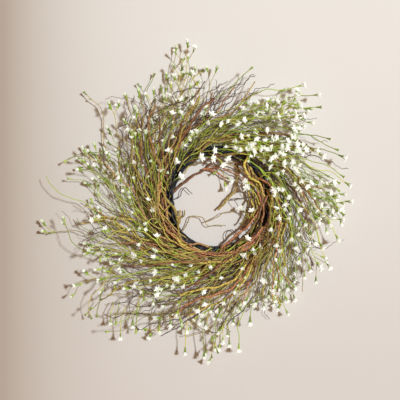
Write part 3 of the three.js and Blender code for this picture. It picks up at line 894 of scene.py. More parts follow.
def knobbly(
    radii: np.ndarray, run: np.ndarray, draw: Draw, spacing: float, swell: float
) -> np.ndarray:
    """Swell a stem's radius at its knots.

    Args:
        radii: radius at each point.
        run: distance along the stem at each point.
        draw: the seeded draws.
        spacing: distance between knots.
        swell: share by which a knot is thicker.

    Returns:
        The new radii.
    """
    place = draw(0, spacing)
    radii = radii * (1 + GRAIN[0] * np.sin(run / GRAIN[1] + place))
    while place < run[-1]:
        knot = swell * draw(*KNOT_SWELLS) * np.exp(-(((run - place) / KNOT_LENGTH) ** 2))
        radii = radii * (1 + knot)
        place += spacing * draw(*KNOT_GAPS)
    return radii


# ------------------------------------------------------------------ Blender helpers


def ring_centre() -> np.ndarray:
    """Return the middle of the base ring in the part's frame, in metres, at the floor's height."""
    low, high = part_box("base_ring")
    return np.array([(low.x + high.x) / 2, (low.y + high.y) / 2, 0.0])


def only(thing: bpy.types.Object) -> None:
    """Select one object alone and make it active.

    Args:
        thing: the object.
    """
    for other in bpy.context.selected_objects:
        other.select_set(False)
    thing.select_set(True)
    bpy.context.view_layer.objects.active = thing


def set_attribute(mesh: bpy.types.Mesh, name: str, values: np.ndarray) -> None:
    """Store one number for each vertex of a mesh."""
    attribute = mesh.attributes.get(name) or mesh.attributes.new(name, "FLOAT", "POINT")
    attribute.data.foreach_set("value", np.asarray(values, np.float32))


def tubes(name: str, strands: Sequence[Strand], centre: np.ndarray) -> bpy.types.Object:
    """Model strands as round tubes with closed ends.

    Args:
        name: the piece's name.
        strands: the strands, in millimetres about the ring's centre.
        centre: the ring's centre in metres.

    Returns:
        One mesh object, with "tint" and "run" stored on its vertices.
    """
    curve = bpy.data.curves.new(name, "CURVE")
    curve.dimensions = "3D"
    curve.bevel_depth = MM
    curve.bevel_resolution = 1
    tints, runs = [], []
    for strand in strands:
        points, radii = strand.capped()
        spline = curve.splines.new("POLY")
        spline.points.add(len(points) - 1)
        places = np.ones((len(points), 4))
        places[:, :3] = points * MM + centre
        spline.points.foreach_set("co", places.ravel())
        spline.points.foreach_set("radius", radii)
        spline.use_smooth = True
        tints.append(np.full(len(points) * TUBE_SIDES, strand.tint))
        runs.append(np.repeat(run_of(points), TUBE_SIDES))
    thing = bpy.data.objects.new(name, curve)
    bpy.context.scene.collection.objects.link(thing)
    only(thing)
    bpy.ops.object.convert(target="MESH")
    thing = bpy.context.object
    expected = sum(len(t) for t in tints)
    if len(thing.data.vertices) != expected:
        raise ValueError(f"{name} has {len(thing.data.vertices)} vertices and not {expected}")
    set_attribute(thing.data, "tint", np.concatenate(tints))
    set_attribute(thing.data, "run", np.concatenate(runs))
    return thing


def joined(name: str, things: Sequence[bpy.types.Object]) -> bpy.types.Object:
    """Join several mesh objects into one.

    Args:
        name: the joined object's name.
        things: at least one object.

    Returns:
        The joined object.
    """
    only(things[0])
    for thing in things:
        thing.select_set(True)
    if len(things) > 1:
        bpy.ops.object.join()
    whole = bpy.context.view_layer.objects.active
    whole.name = name
    whole.data.name = name
    return whole


def dress(thing: bpy.types.Object, material: bpy.types.Material) -> None:
    """Give an object one material."""
    thing.data.materials.clear()
    thing.data.materials.append(material)


def report(thing: bpy.types.Object, material: bpy.types.Material, slot: str, *nodes: str) -> None:
    """Dress a finished piece, tie it to the part, and log it.

    Args:
        thing: the piece.
        material: its finish.
        slot: not used.
        nodes: the CAD nodes that it stands for.
    """
    dress(thing, material)
    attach(thing, BODY)
    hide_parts(*nodes)
    log.info("%s: %d faces", thing.name, len(thing.data.polygons))


# ------------------------------------------------------------------ shading


Operand: TypeAlias = "Value | float"
Setting: TypeAlias = "Value | float | tuple | None"


class Value:
    """A number, vector or colour in a shader, with operators that add Math nodes."""

    def __init__(self, graph: "Graph", socket: bpy.types.NodeSocket) -> None:
        """Wrap a node's output."""
        self.graph = graph
        self.socket = socket

    def _math(self, operation: str, *values: Operand) -> "Value":
        """Add a Math node."""
        return self.graph.node("ShaderNodeMath", {"operation": operation}, *values)

    def __add__(self, other: Operand) -> "Value":
        """Return the sum."""
        return self._math("ADD", self, other)

    def __sub__(self, other: Operand) -> "Value":
        """Return the difference."""
        return self._math("SUBTRACT", self, other)

    def __rsub__(self, other: Operand) -> "Value":
        """Return the difference the other way round."""
        return self._math("SUBTRACT", other, self)

    def __mul__(self, other: Operand) -> "Value":
        """Return the product."""
        return self._math("MULTIPLY", self, other)

    def __truediv__(self, other: Operand) -> "Value":
        """Return the quotient."""
        return self._math("DIVIDE", self, other)

    def __rtruediv__(self, other: Operand) -> "Value":
        """Return the quotient the other way round."""
        return self._math("DIVIDE", other, self)

    __radd__ = __add__
    __rmul__ = __mul__

    def sine(self) -> "Value":
        """Return the sine."""
        return self._math("SINE", self)

    def exponent(self) -> "Value":
        """Return e to this power."""
        return self._math("EXPONENT", self)

    def eased(self, low: float, high: float) -> "Value":
        """Return 0 below low, 1 above high, and an eased share between."""
        settings = {"interpolation_type": "SMOOTHSTEP"}
        return self.graph.node("ShaderNodeMapRange", settings, self, low, high)


@dataclass(frozen=True)
class Grain:
    """One layer of cloudy noise: its scale, its octaves, and how strong the finer ones are."""

    scale: float
    detail: float
    roughness: float = 0.5


class Graph:
    """The node tree of one material or of the world."""

    def __init__(self, owner: bpy.types.Material | bpy.types.World) -> None:
        """Clear the owner's nodes and add its output.

        Args:
            owner: the material or world.
        """
        owner.use_nodes = True
        self.tree = owner.node_tree
        self.tree.nodes.clear()
        kind = "World" if isinstance(owner, bpy.types.World) else "Material"
        self.output = self.tree.nodes.new(f"ShaderNodeOutput{kind}")

    def put(self, socket: bpy.types.NodeSocket, value: Setting) -> None:
        """Link a value to a socket, or set it there.

        Args:
            socket: a node's input.
            value: another node's output, or a plain value.
        """
        if isinstance(value, Value):
            self.tree.links.new(value.socket, socket)
        else:
            socket.default_value = value

    def node(
        self,
        kind: str,
        settings: dict | None = None,
        *values: Setting,
        out: int | str = 0,
        **named: Setting,
    ) -> Value:
        """Add a node.

        Args:
            kind: its type.
            settings: its properties.
            values: values or links for its first sockets, in order; None leaves one out.
            out: which output to return.
            named: values or links for sockets by name, with _ for a space.

        Returns:
            One of its outputs.
        """
        made = self.tree.nodes.new(kind)
        for name, setting in (settings or {}).items():
            setattr(made, name, setting)
        for socket, value in zip(made.inputs, values):
            if value is not None:
                self.put(socket, value)
        for name, value in named.items():
            self.put(made.inputs[name.replace("_", " ")], value)
        return Value(self, made.outputs[out])

    def place(self) -> Value:
        """Return the object coordinates."""
        return self.node("ShaderNodeTexCoord", out="Object")

    def attribute(self, name: str) -> Value:
        """Return a number stored on the mesh."""
        return self.node("ShaderNodeAttribute", {"attribute_name": name}, out="Fac")

    def noise(self, place: Value, grain: Grain) -> Value:
        """Return a cloudy number from about 0.3 to 0.7."""
        sizes = {"Scale": grain.scale, "Detail": grain.detail, "Roughness": grain.roughness}
        return self.node("ShaderNodeTexNoise", None, Vector=place, **sizes)

    def blend(self, share: Operand, low: Setting, high: Setting) -> Value:
        """Mix two colours; plain colours have four numbers.

        Args:
            share: how much of the second there is.
            low: the first colour.
            high: the second colour.

        Returns:
            The mixed colour.
        """
        made = self.tree.nodes.new("ShaderNodeMix")
        made.data_type = "RGBA"
        for number, value in ((0, share), (6, low), (7, high)):
            self.put(made.inputs[number], value)
        return Value(self, made.outputs[2])

    def bump(self, height: Value, strength: float, distance: float) -> Value:
        """Return a normal from a height; distance is in metres."""
        sizes = {"Strength": strength, "Distance": distance}
        return self.node("ShaderNodeBump", None, Height=height, **sizes)

    def finish(self, shader: Value) -> None:
        """Link the tree's last shader to its output."""
        self.put(self.output.inputs[0], shader)


def rgb(red: float, green: float, blue: float) -> tuple[float, float, float, float]:
    """Return a plain colour."""
    return (red, green, blue, 1.0)


@dataclass(frozen=True)
class Finish:
    """A procedural finish. Each kind says how its shader is made.

    Rough is the least roughness and what the fine grain adds. Relief is the bump's strength and its
    depth in metres.
    """

    name: str = "finish"
    coarse: Grain = Grain(80, 2)
    fine: Grain = Grain(500, 3, 0.6)
    rough: tuple[float, float] = (0.5, 0.0)
    relief: tuple[float, float] = (0.5, 0.0006)

    def shader(self, graph: Graph) -> Value:
        """Return the shader, made of new nodes in the graph."""
        raise NotImplementedError

    def grains(self, graph: Graph) -> tuple[Value, Value]:
        """Return the coarse and the fine noise."""
        place = graph.place()
        return graph.noise(place, self.coarse), graph.noise(place, self.fine)

    def surface(
        self, graph: Graph, colour: Value, fine: Value, height: Value, **more: Setting
    ) -> Value:
        """Make the shader of a surface.

        Args:
            graph: the material's nodes.
            colour: its colour.
            fine: the fine noise, which changes how rough it is.
            height: its relief.
            more: further inputs of the shader.

        Returns:
            The shader.
        """
        inputs = {
            "Base_Color": colour,
            "Roughness": self.rough[0] + fine * self.rough[1],
            "Normal": graph.bump(height, *self.relief),
        }
        return graph.node("ShaderNodeBsdfPrincipled", None, **inputs, **more)

    def material(self) -> bpy.types.Material:
        """Make a material with this finish.

        Returns:
            A new material.
        """
        made = bpy.data.materials.new(self.name)
        graph = Graph(made)
        graph.finish(self.shader(graph))
        return made


@dataclass(frozen=True)
class StemFinish(Finish):
    """A finish whose tint shifts in patches, with dark spots, and with painted shade that darkens
    some stems more than others.
    """

    patchiness: float = 0.6
    # The first range eases the fine noise into dark spots; the next two set the painted shade,
    # which darkens whole stems by turns, as if they lay in shade between others.
    spots_and_shade: tuple[float, float] = (0.32, 0.56)
    stem_shade: tuple[float, float] = (0.33, 0.68)
    stem_shade_pace: float = 97.0
    gloss: float = 0.3

    def clear_of_spots_and_shade(self, tint: Value, spots_and_shade: Value) -> Value:
        """Return how much of the full colour shows past the dark spots and the painted shade, which
        differs from stem to stem.
        """
        return spots_and_shade * ((tint * self.stem_shade_pace).sine() * self.stem_shade[0] + self.stem_shade[1])


@dataclass(frozen=True)
class BarkFinish(StemFinish):
    """Knobbly bark: brown, olive or red-brown by the stem's tint, patchy along it, with dark spots
    and painted shade on some stems.
    """

    name: str = "bark"
    coarse: Grain = Grain(26, 3)
    fine: Grain = Grain(420, 4, 0.65)
    rough: tuple[float, float] = (0.62, -0.35)
    relief: tuple[float, float] = (0.6, 0.0008)
    brown: tuple = rgb(0.63, 0.35, 0.15)
    olive: tuple = rgb(0.88, 0.67, 0.14)
    red: tuple = rgb(0.68, 0.28, 0.14)
    # The colour of the dark spots and of the painted shade that darkens some stems.
    dark: tuple = rgb(0.04, 0.02, 0.01)
    olive_at: tuple[float, float] = (0.35, 0.59)
    red_at: tuple[float, float] = (0.64, 0.84)
    ring_pace: float = 0.9
    ring_shift: float = 9.0
    ring_marks: tuple[float, float] = (0.02, 0.15)

    def shader(self, graph: Graph) -> Value:
        """Make the shader.

        Args:
            graph: the material's nodes.

        Returns:
            The shader.
        """
        tint = graph.attribute("tint")
        patches, fine = self.grains(graph)
        shifted = tint + (patches - 0.5) * self.patchiness
        colour = graph.blend(shifted.eased(*self.olive_at), self.brown, self.olive)
        colour = graph.blend(shifted.eased(*self.red_at), colour, self.red)
        rings = (graph.attribute("run") * self.ring_pace + patches * self.ring_shift).sine()
        # Dark spots, faintly banded by the ring marks, and painted shade that darkens whole stems
        # by turns.
        spots_and_shade = (fine + rings * self.ring_marks[0]).eased(*self.spots_and_shade)
        colour = graph.blend(self.clear_of_spots_and_shade(tint, spots_and_shade), self.dark, colour)
        height = fine + rings * self.ring_marks[1]
        return self.surface(graph, colour, fine, height, Specular_IOR_Level=self.gloss)


@dataclass(frozen=True)
class TendrilFinish(Finish):
    """Thin dark bark."""

    name: str = "tendril"
    coarse: Grain = Grain(90, 3)
    fine: Grain = Grain(600, 3, 0.6)
    rough: tuple[float, float] = (0.8, -0.35)
    dark: tuple = rgb(0.035, 0.02, 0.02)
    light: tuple = rgb(0.16, 0.10, 0.095)
    warm: tuple = rgb(0.15, 0.075, 0.03)
    warm_at: tuple[float, float] = (0.45, 0.95)
    mottle: tuple[float, float] = (0.7, 0.5)
    clean_at: tuple[float, float] = (0.42, 0.76)

    def shader(self, graph: Graph) -> Value:
        """Make the shader.

        Args:
            graph: the material's nodes.

        Returns:
            The shader.
        """
        patches, fine = self.grains(graph)
        colour = graph.blend(graph.attribute("tint").eased(*self.warm_at), self.light, self.warm)
        mottled = patches * self.mottle[0] + fine * self.mottle[1]
        colour = graph.blend(mottled.eased(*self.clean_at), self.dark, colour)
        return self.surface(graph, colour, fine, fine)


@dataclass(frozen=True)
class GreenFinish(StemFinish):
    """Fresh green stems, sleeves and cups, from wood and olive to bright green by tint."""

    name: str = "stem_green"
    fine: Grain = Grain(450, 3, 0.6)
    rough: tuple[float, float] = (0.55, -0.25)
    relief: tuple[float, float] = (0.3, 0.0005)
    patchiness: float = 0.35
    # Ranges for the dark spots and for the painted shade that darkens some stems.
    spots_and_shade: tuple[float, float] = (0.22, 0.42)
    stem_shade: tuple[float, float] = (0.32, 0.72)
    wood: tuple = rgb(0.70, 0.48, 0.15)
    olive: tuple = rgb(0.82, 0.75, 0.15)
    green: tuple = rgb(0.49, 0.66, 0.08)
    bright: tuple = rgb(0.27, 0.44, 0.04)
    # The colour of the dark spots and of the painted shade that darkens some stems.
    dark: tuple = rgb(0.05, 0.07, 0.015)
    olive_at: tuple[float, float] = (0.2, 0.46)
    green_at: tuple[float, float] = (0.4, 0.62)
    bright_at: tuple[float, float] = (0.62, 0.84)
    outward: tuple[float, float] = (20.0, 200.0)
    shares: tuple[float, float] = (0.72, 0.06)

    def shader(self, graph: Graph) -> Value:
        """Make the shader.

        Args:
            graph: the material's nodes.

        Returns:
            The shader.
        """
        tint, out = graph.attribute("tint"), graph.attribute("run").eased(*self.outward)
        patches, fine = self.grains(graph)
        shifted = tint * self.shares[0] + out * self.shares[1] + (patches - 0.5) * self.patchiness
        colour = graph.blend(shifted.eased(*self.olive_at), self.wood, self.olive)
        colour = graph.blend(shifted.eased(*self.green_at), colour, self.green)
        colour = graph.blend(shifted.eased(*self.bright_at), colour, self.bright)
        # Dark spots, and painted shade that darkens whole stems by turns.
        clean = self.clear_of_spots_and_shade(tint, fine.eased(*self.spots_and_shade))
        colour = graph.blend(clean, self.dark, colour)
        return self.surface(graph, colour, fine, fine, Specular_IOR_Level=self.gloss)


@dataclass(frozen=True)
class PetalFinish(Finish):
    """Matte white cloth petals, a little green at the throat and on those that haven't opened, with
    a faint painted glow that stands in for light through the thin cloth.
    """

    name: str = "petal_white"
    coarse: Grain = Grain(160, 2)
    fine: Grain = Grain(1500, 2, 0.7)
    rough: tuple[float, float] = (0.75, 0.2)
    relief: tuple[float, float] = (0.25, 0.0005)
    white: tuple = rgb(0.93, 0.93, 0.90)
    cream: tuple = rgb(0.88, 0.88, 0.80)
    throat: tuple = rgb(0.60, 0.68, 0.30)
    closed: tuple = rgb(0.70, 0.76, 0.55)
    # Painted light: the petals glow a little in their own colour, for light shining through the
    # thin cloth.
    painted_glow: float = 0.24
    white_at: tuple[float, float] = (0.35, 0.65)
    open_at: tuple[float, float] = (0.1, 0.6)
    past_throat: tuple[float, float] = (0.0, 0.3)

    def shader(self, graph: Graph) -> Value:
        """Make the shader.

        Args:
            graph: the material's nodes.

        Returns:
            The shader.
        """
        cloud, weave = self.grains(graph)
        opened, past = graph.attribute("tint"), graph.attribute("run")
        colour = graph.blend(cloud.eased(*self.white_at), self.cream, self.white)
        colour = graph.blend(opened.eased(*self.open_at), self.closed, colour)
        colour = graph.blend(past.eased(*self.past_throat), self.throat, colour)
        # Painted light: the petals glow faintly in their own colour.
        light = {"Emission_Color": colour, "Emission_Strength": self.painted_glow}
        return self.surface(graph, colour, weave, weave + cloud, **light)


@dataclass(frozen=True)
class RingFinish(Finish):
    """Near-black wound stems with a faint cold gloss."""

    name: str = "ring_core"
    coarse: Grain = Grain(60, 3)
    rough: tuple[float, float] = (0.28, 0.4)
    dark: tuple = rgb(0.006, 0.006, 0.008)
    light: tuple = rgb(0.016, 0.018, 0.024)
    light_at: tuple[float, float] = (0.4, 0.65)

    def shader(self, graph: Graph) -> Value:
        """Make the shader.

        Args:
            graph: the material's nodes.

        Returns:
            The shader.
        """
        patches, fine = self.grains(graph)
        colour = graph.blend(patches.eased(*self.light_at), self.dark, self.light)
        return self.surface(graph, colour, fine, fine)


@dataclass(frozen=True)
class FloorFinish(Finish):
    """A plain pale ground with painted shade: it darkens to the left and a little to the bottom,
    where the light falls off.
    """

    name: str = "floor"
    fine: Grain = Grain(900, 3, 0.6)
    rough: tuple[float, float] = (0.85, 0.1)
    relief: tuple[float, float] = (0.05, 0.0003)
    top: tuple = rgb(0.85, 0.815, 0.785)
    bottom: tuple = rgb(0.72, 0.66, 0.63)
    shade: tuple = rgb(0.47, 0.39, 0.325)
    heights: tuple[float, float] = (-0.5, 0.5)
    left: float = -0.37
    fade: float = 0.118

    def shader(self, graph: Graph) -> Value:
        """Make the shader.

        Args:
            graph: the material's nodes.

        Returns:
            The shader.
        """
        place = graph.place()
        across, up = (graph.node("ShaderNodeSeparateXYZ", None, place, out=k) for k in (0, 1))
        fine = graph.noise(place, self.fine)
        # Painted shade: darker toward the bottom, and fading to the shade colour at the left.
        pale = graph.blend(up.eased(*self.heights), self.bottom, self.top)
        share = 1 - ((self.left - across) / self.fade).exponent()
        return self.surface(graph, graph.blend(share, self.shade, pale), fine, fine)


# ------------------------------------------------------------------ blossoms


@dataclass(frozen=True)
class BlossomShape:
    """The template of one blossom, in millimetres.

    It faces up, with the middle of its petals at the origin. Rows are heights and radii.
    """

    columns: int = 15
    rows: tuple = ((-4.4, 1.4), (-2.4, 2.4), (0.0, 4.2), (1.8, 7.0))
    notch: float = 0.55
    notch_drop: float = 1.4
    curl: float = 1.6
    inner_columns: int = 8
    inner_rows: tuple = ((-3.6, 1.0), (0.4, 2.0), (3.4, 4.2))
    sleeve_columns: int = 7
    sleeve_rows: tuple = ((-11.0, 0.9), (-9.6, 1.35), (-6.0, 1.7), (-4.0, 2.1), (-1.2, 3.9))
    sepal_notch: float = 0.55
    sepal_drop: float = 1.6
    inner_notch: float = 0.5
    outer_petal: int = 3
    inner_petal: int = 2
    throat: float = -4.6
    depth: float = 8.0
    cup_run: float = 230.0
    crease: float = math.radians(50)

    def skirt(
        self, name: str, columns: int, rows: Sequence[tuple[float, float]]
    ) -> bpy.types.Object:
        """Model an open skirt by drawing a ring of edges out row by row.

        Args:
            name: the object's name.
            columns: faces round.
            rows: height and radius of each row of corners.

        Returns:
            The skirt, active and in object mode, with its rim selected.
        """
        height, radius = rows[0]
        bpy.ops.mesh.primitive_circle_add(
            vertices=columns, radius=radius * MM, fill_type="NOTHING", location=(0, 0, height * MM)
        )
        skirt = bpy.context.object
        bpy.ops.object.transform_apply(location=True)
        bpy.ops.object.mode_set(mode="EDIT")
        bpy.ops.mesh.select_all(action="SELECT")
        for new_height, new_radius in rows[1:]:
            bpy.ops.mesh.extrude_edges_move(
                TRANSFORM_OT_translate={"value": (0, 0, (new_height - height) * MM)}
            )
            grow = new_radius / radius
            bpy.ops.transform.resize(value=(grow, grow, 1), center_override=(0, 0, 0))
            height, radius = new_height, new_radius
        bpy.ops.object.mode_set(mode="OBJECT")
        skirt.name = name
        return skirt

    def scallop(
        self, skirt: bpy.types.Object, columns: int, every: int, notch: float, drop: float
    ) -> None:
        """Pull every so many corners of a skirt's rim in and down.

        Args:
            skirt: the skirt.
            columns: its faces round.
            every: columns in one petal.
            notch: the share of its radius that a notch keeps.
            drop: how far a notch drops, in millimetres.
        """
        bpy.ops.object.mode_set(mode="EDIT")
        bpy.ops.mesh.select_mode(type="VERT")
        bpy.ops.mesh.select_all(action="DESELECT")
        bpy.ops.object.mode_set(mode="OBJECT")
        corners = skirt.data.vertices
        first = len(corners) - columns
        for corner in corners:
            corner.select = corner.index >= first and (corner.index - first) % every == 0
        bpy.ops.object.mode_set(mode="EDIT")
        bpy.ops.transform.resize(value=(notch, notch, 1), center_override=(0, 0, 0))
        bpy.ops.transform.translate(value=(0, 0, -drop * MM))
        bpy.ops.object.mode_set(mode="OBJECT")

    def petals(self) -> bpy.types.Object:
        """Model the white petals: five outer ones round four smaller ones.

        Returns:
            The petals, with the way out of the throat stored as "run".
        """
        outer = self.skirt("outer_petals", self.columns, self.rows)
        self.scallop(outer, self.columns, self.outer_petal, self.notch, self.notch_drop)
        inner = self.skirt("inner_petals", self.inner_columns, self.inner_rows)
        self.scallop(inner, self.inner_columns, self.inner_petal, self.inner_notch, self.curl)
        whole = joined("petals_template", [outer, inner])
        heights = np.array([corner.co.z for corner in whole.data.vertices]) / MM
        set_attribute(whole.data, "run", (heights - self.throat) / self.depth)
        bpy.ops.object.shade_smooth_by_angle(angle=self.crease)
        return whole

    def cup(self) -> bpy.types.Object:
        """Model the green sleeve and the cup of sepals that it widens into.

        Returns:
            The sleeve and cup.
        """
        columns = self.sleeve_columns * 2
        cup = self.skirt("cup_template", columns, self.sleeve_rows)
        self.scallop(cup, columns, 2, self.sepal_notch, self.sepal_drop)
        set_attribute(cup.data, "run", np.full(len(cup.data.vertices), self.cup_run))
        only(cup)
        bpy.ops.object.shade_smooth_by_angle(angle=self.crease)
        return cup


@dataclass
class Blooms:
    """Copies of the blossom's template, placed on stems."""

    petals: bpy.types.Object
    cup: bpy.types.Object
    centre: np.ndarray

    def place(
        self,
        template: bpy.types.Object,
        blossom: Blossom,
        spin: float,
        tint: float,
        scale: tuple[float, float, float],
    ) -> bpy.types.Object:
        """Copy a template onto a stem's end.

        Args:
            template: petals or cup.
            blossom: where the blossom is.
            spin: its turn about its own axis.
            tint: its tint.
            scale: its size, two ways across and along.

        Returns:
            The copy, with its place in its own mesh.
        """
        copy = template.copy()
        copy.data = template.data.copy()
        turn = Vector(blossom.facing).to_track_quat("Z", "Y").to_matrix().to_4x4()
        size = Matrix.Diagonal((*scale, 1)) * blossom.size
        size[3][3] = 1
        spot = Vector(blossom.centre * MM + self.centre)
        copy.data.transform(Matrix.Translation(spot) @ turn @ Matrix.Rotation(spin, 4, "Z") @ size)
        set_attribute(copy.data, "tint", np.full(len(copy.data.vertices), tint))
        bpy.context.scene.collection.objects.link(copy)
        return copy

    def clear(self) -> None:
        """Remove the templates."""
        for template in (self.petals, self.cup):
            bpy.data.objects.remove(template)


# ------------------------------------------------------------------ bundles


@dataclass(frozen=True)
class Companions:
    """Extra thin stems that fill a bundle out, rooted round the ring beside its own."""

    count: float
    radius: tuple[float, float]
    reach: tuple[float, float]
    wrap: tuple[float, float] = (0.1, 0.8)
    lean: float = 3.0
    drift: float = 2.0
    bow: float = 0.2
    points: int = 7
    tier: int | None = None
    heights: tuple[float, float] = (-0.9, 1.0)

    girth = 1.0
    tilt_play = 30.0
    root_rise = (0.5, 5.0)
    leave_gap = 3.0
    wrapped_points = 4
    wrap_power = 1.4
    reach_power = 1.15

    def route(self, bundle: Bundle, draw: Draw) -> list[np.ndarray]:
        """Draw one stem's route: along the ring, off it, and out in its tier.

        Args:
            bundle: the bundle that it goes with.
            draw: the seeded draws.

        Returns:
            The points.
        """
        tier = bundle.tier if self.tier is None else self.tier
        middle = bundle.tip_azimuth + turn_at(tier, REACH)
        angle = middle + draw(-self.lean, self.lean) * SECTOR_HALF
        drift = draw(-self.drift, self.drift) * SECTOR_HALF
        bow = draw(-self.bow, self.bow)
        end = bundle.reach()[0] * draw(*self.reach)
        height = draw(*self.heights)
        wrap = draw(*self.wrap)
        tilt = math.radians(TIERS[bundle.tier].root_tilt + draw(-self.tilt_play, self.tilt_play))
        rise = RING_TUBE + draw(*self.root_rise)
        leave = TIERS[bundle.tier].out_radius + self.leave_gap
        out = tier_point(tier, angle, leave, height, self.girth)
        last = angle - turn_at(tier, leave)
        points = []
        for i in range(self.wrapped_points):
            share = i / self.wrapped_points
            level = mix(RING_FLAT + rise * math.sin(tilt), out[2], share)
            radius = mix(RING_RADIUS + rise * math.cos(tilt), leave, share**self.wrap_power)
            points.append(on_cylinder(radius, last + wrap * (1 - share), level))
        points.append(out)
        for i in range(1, self.points + 1):
            share = i / self.points
            radius = mix(leave, end, share**self.reach_power)
            aslant = drift * share + bow * math.sin(math.pi * share)
            points.append(tier_point(tier, angle + aslant, radius, height, self.girth))
        return points


@dataclass
class BundleLooks:
    """What all bundles share: strands for the solid's stems, and companions round them."""

    bundle: Bundle
    centre: np.ndarray
    draw: Draw

    spacing = 4.0
    thickness = 0.75
    wander = Wander(1.2, 60)
    half_way = 170.0
    joint_follow = 0.6
    least_height = 1.5
    companion_taper = 0.65

    @property
    def azimuth(self) -> float:
        """Return where the bundle's middle lies half-way out, in radians."""
        return self.bundle.middle - turn_at(self.bundle.tier, self.half_way)

    def lean_to(self, degrees: float) -> float:
        """Return 1 if the bundle lies that way from the middle, and -1 if it lies opposite."""
        return math.cos(self.azimuth - math.radians(degrees))

    def tint(self) -> float:
        """Draw a stem's tint."""
        return self.draw()

    def radii(self, run: np.ndarray, start: float, end: float) -> np.ndarray:
        """Return the radius along a stem that tapers from start to end."""
        return start + (end - start) * run / run[-1]

    def strands(self) -> list[Strand]:
        """Draw the solid's stems out, joined where the solid's are.

        Returns:
            A strand for each stem.
        """
        made: list[Strand] = []
        for stem in self.bundle.stems:
            path = list(stem.path)
            if stem.on is not None:
                shift = made[stem.on].at(stem.at) - path[0]
                path[0] = path[0] + shift
                if len(path) > 2:
                    path[1] = path[1] + shift * self.joint_follow
            points, steps = smooth(path, self.spacing)
            if stem.on is None or len(path) > 3:
                held = replace(self.wander, held=stem.blossom is not None)
                points = held.apply(points, self.draw)
            run = run_of(points)
            tint = self.tint() if stem.on is None else mix(made[stem.on].tint, self.tint(), 0.5)
            girths = self.radii(run, stem.radius * self.thickness, stem.tip * self.thickness)
            made.append(Strand(points, girths, tint, steps))
        return made

    def companion_strands(self, companions: Companions) -> list[Strand]:
        """Draw a set of companions out.

        Args:
            companions: how many there are and how they grow.

        Returns:
            A strand for each.
        """
        made = []
        for _ in range(round(companions.count)):
            points, steps = smooth(companions.route(self.bundle, self.draw), self.spacing)
            points = self.wander.apply(points, self.draw)
            points[:, 2] = np.maximum(points[:, 2], self.least_height)
            radius = self.draw(*companions.radius)
            radii = self.radii(run_of(points), radius, radius * self.companion_taper)
            made.append(Strand(points, radii, self.tint(), steps))
        return made


class BarkBundle(BundleLooks):
    """A bundle of knobbly bark twigs."""

    spacing = 3.0
    thickness = 0.85
    wander = Wander(1.5, 60, sway=7)
    knots = (24.0, 0.22)
    red_side, redder = 265, 0.2
    least_tint = 0.27
    tint_play = (0.5, 0.3)

    def tint(self) -> float:
        """Draw a tint, redder at the bottom.

        Returns:
            The tint, from 0 to 1.
        """
        even = self.tint_play[0] * self.draw() + self.least_tint
        leaning = even + self.redder * self.lean_to(self.red_side)
        return clamp(leaning + self.draw(-self.tint_play[1], self.tint_play[1]), 0, 1)

    def radii(self, run: np.ndarray, start: float, end: float) -> np.ndarray:
        """Return the radius along a knobbly stem."""
        return knobbly(super().radii(run, start, end), run, self.draw, *self.knots)

    def build(self, material: bpy.types.Material) -> None:
        """Model and dress the bundle.

        Args:
            material: the bark's finish.
        """
        piece = tubes(f"{self.bundle.name}.bark", self.strands(), self.centre)
        report(piece, material, "bark", self.bundle.name)


class TendrilBundle(BundleLooks):
    """A bundle of thin dark tendrils that curl."""

    spacing = 3.0
    companions = Companions(4, (0.5, 0.75), (0.65, 1.05), (0.0, 0.25), drift=3.0)
    wander = Wander(2.2, 34, 0.5, sway=5)

    def build(self, material: bpy.types.Material) -> None:
        """Model and dress the bundle.

        Args:
            material: the tendrils' finish.
        """
        strands = self.strands() + self.companion_strands(self.companions)
        piece = tubes(f"{self.bundle.name}.curls", strands, self.centre)
        report(piece, material, "tendril", self.bundle.name)


@dataclass(frozen=True)
class Sprigs:
    """Small side heads: how likely one is and how likely open, its size, and where they grow."""

    share: float
    open_share: float
    sizes: tuple[float, float]
    back: tuple[int, ...]

    joint_play = 0.3
    angles = (0.35, 0.8)
    tilts = (0.0, 0.5)


@dataclass(frozen=True)
class LoneHead:
    """A blossom that stands apart.

    It has its place, the azimuth of its root in degrees, its size, its height and whether it is
    open. One that hangs from the tangle has no root in the ring: hang says how long its stem is.
    """

    x: float
    y: float
    root: float = 0.0
    size: float = 1.0
    height: float = 40.0
    white: bool = True
    hang: float = 0.0

    radius = 0.8
    tilt = 0.2
    tints = (0.5, 0.9)
    start = (0.15, 12.0)
    middle = (0.02, 0.45, 3.0)
    shares = (0.2, 0.45, 0.72)
    rise_power = 0.6
    turn_power = 0.8

    def path(self) -> list[np.ndarray]:
        """Find the points of its stem.

        Returns:
            Points down from the tangle, or out from the ring in a spiral.
        """
        end = np.array([self.x, self.y, self.height])
        if self.hang:
            aside, drop = self.start
            first = end + np.array([aside * self.hang, self.hang, -drop])
            aside, along_it, lift = self.middle
            return [first, end + np.array([aside * self.hang, along_it * self.hang, lift]), end]
        azimuth, away = math.radians(self.root), math.hypot(self.x, self.y)
        turn = math.remainder(math.atan2(self.y, self.x) - azimuth, 2 * math.pi)
        path = [on_cylinder(RING_RADIUS, azimuth, RING_TUBE)]
        for share in self.shares:
            level = mix(RING_TUBE, self.height, share**self.rise_power)
            spiral = azimuth + turn * share**self.turn_power
            path.append(on_cylinder(mix(RING_RADIUS, away, share), spiral, level))
        return [*path, end]


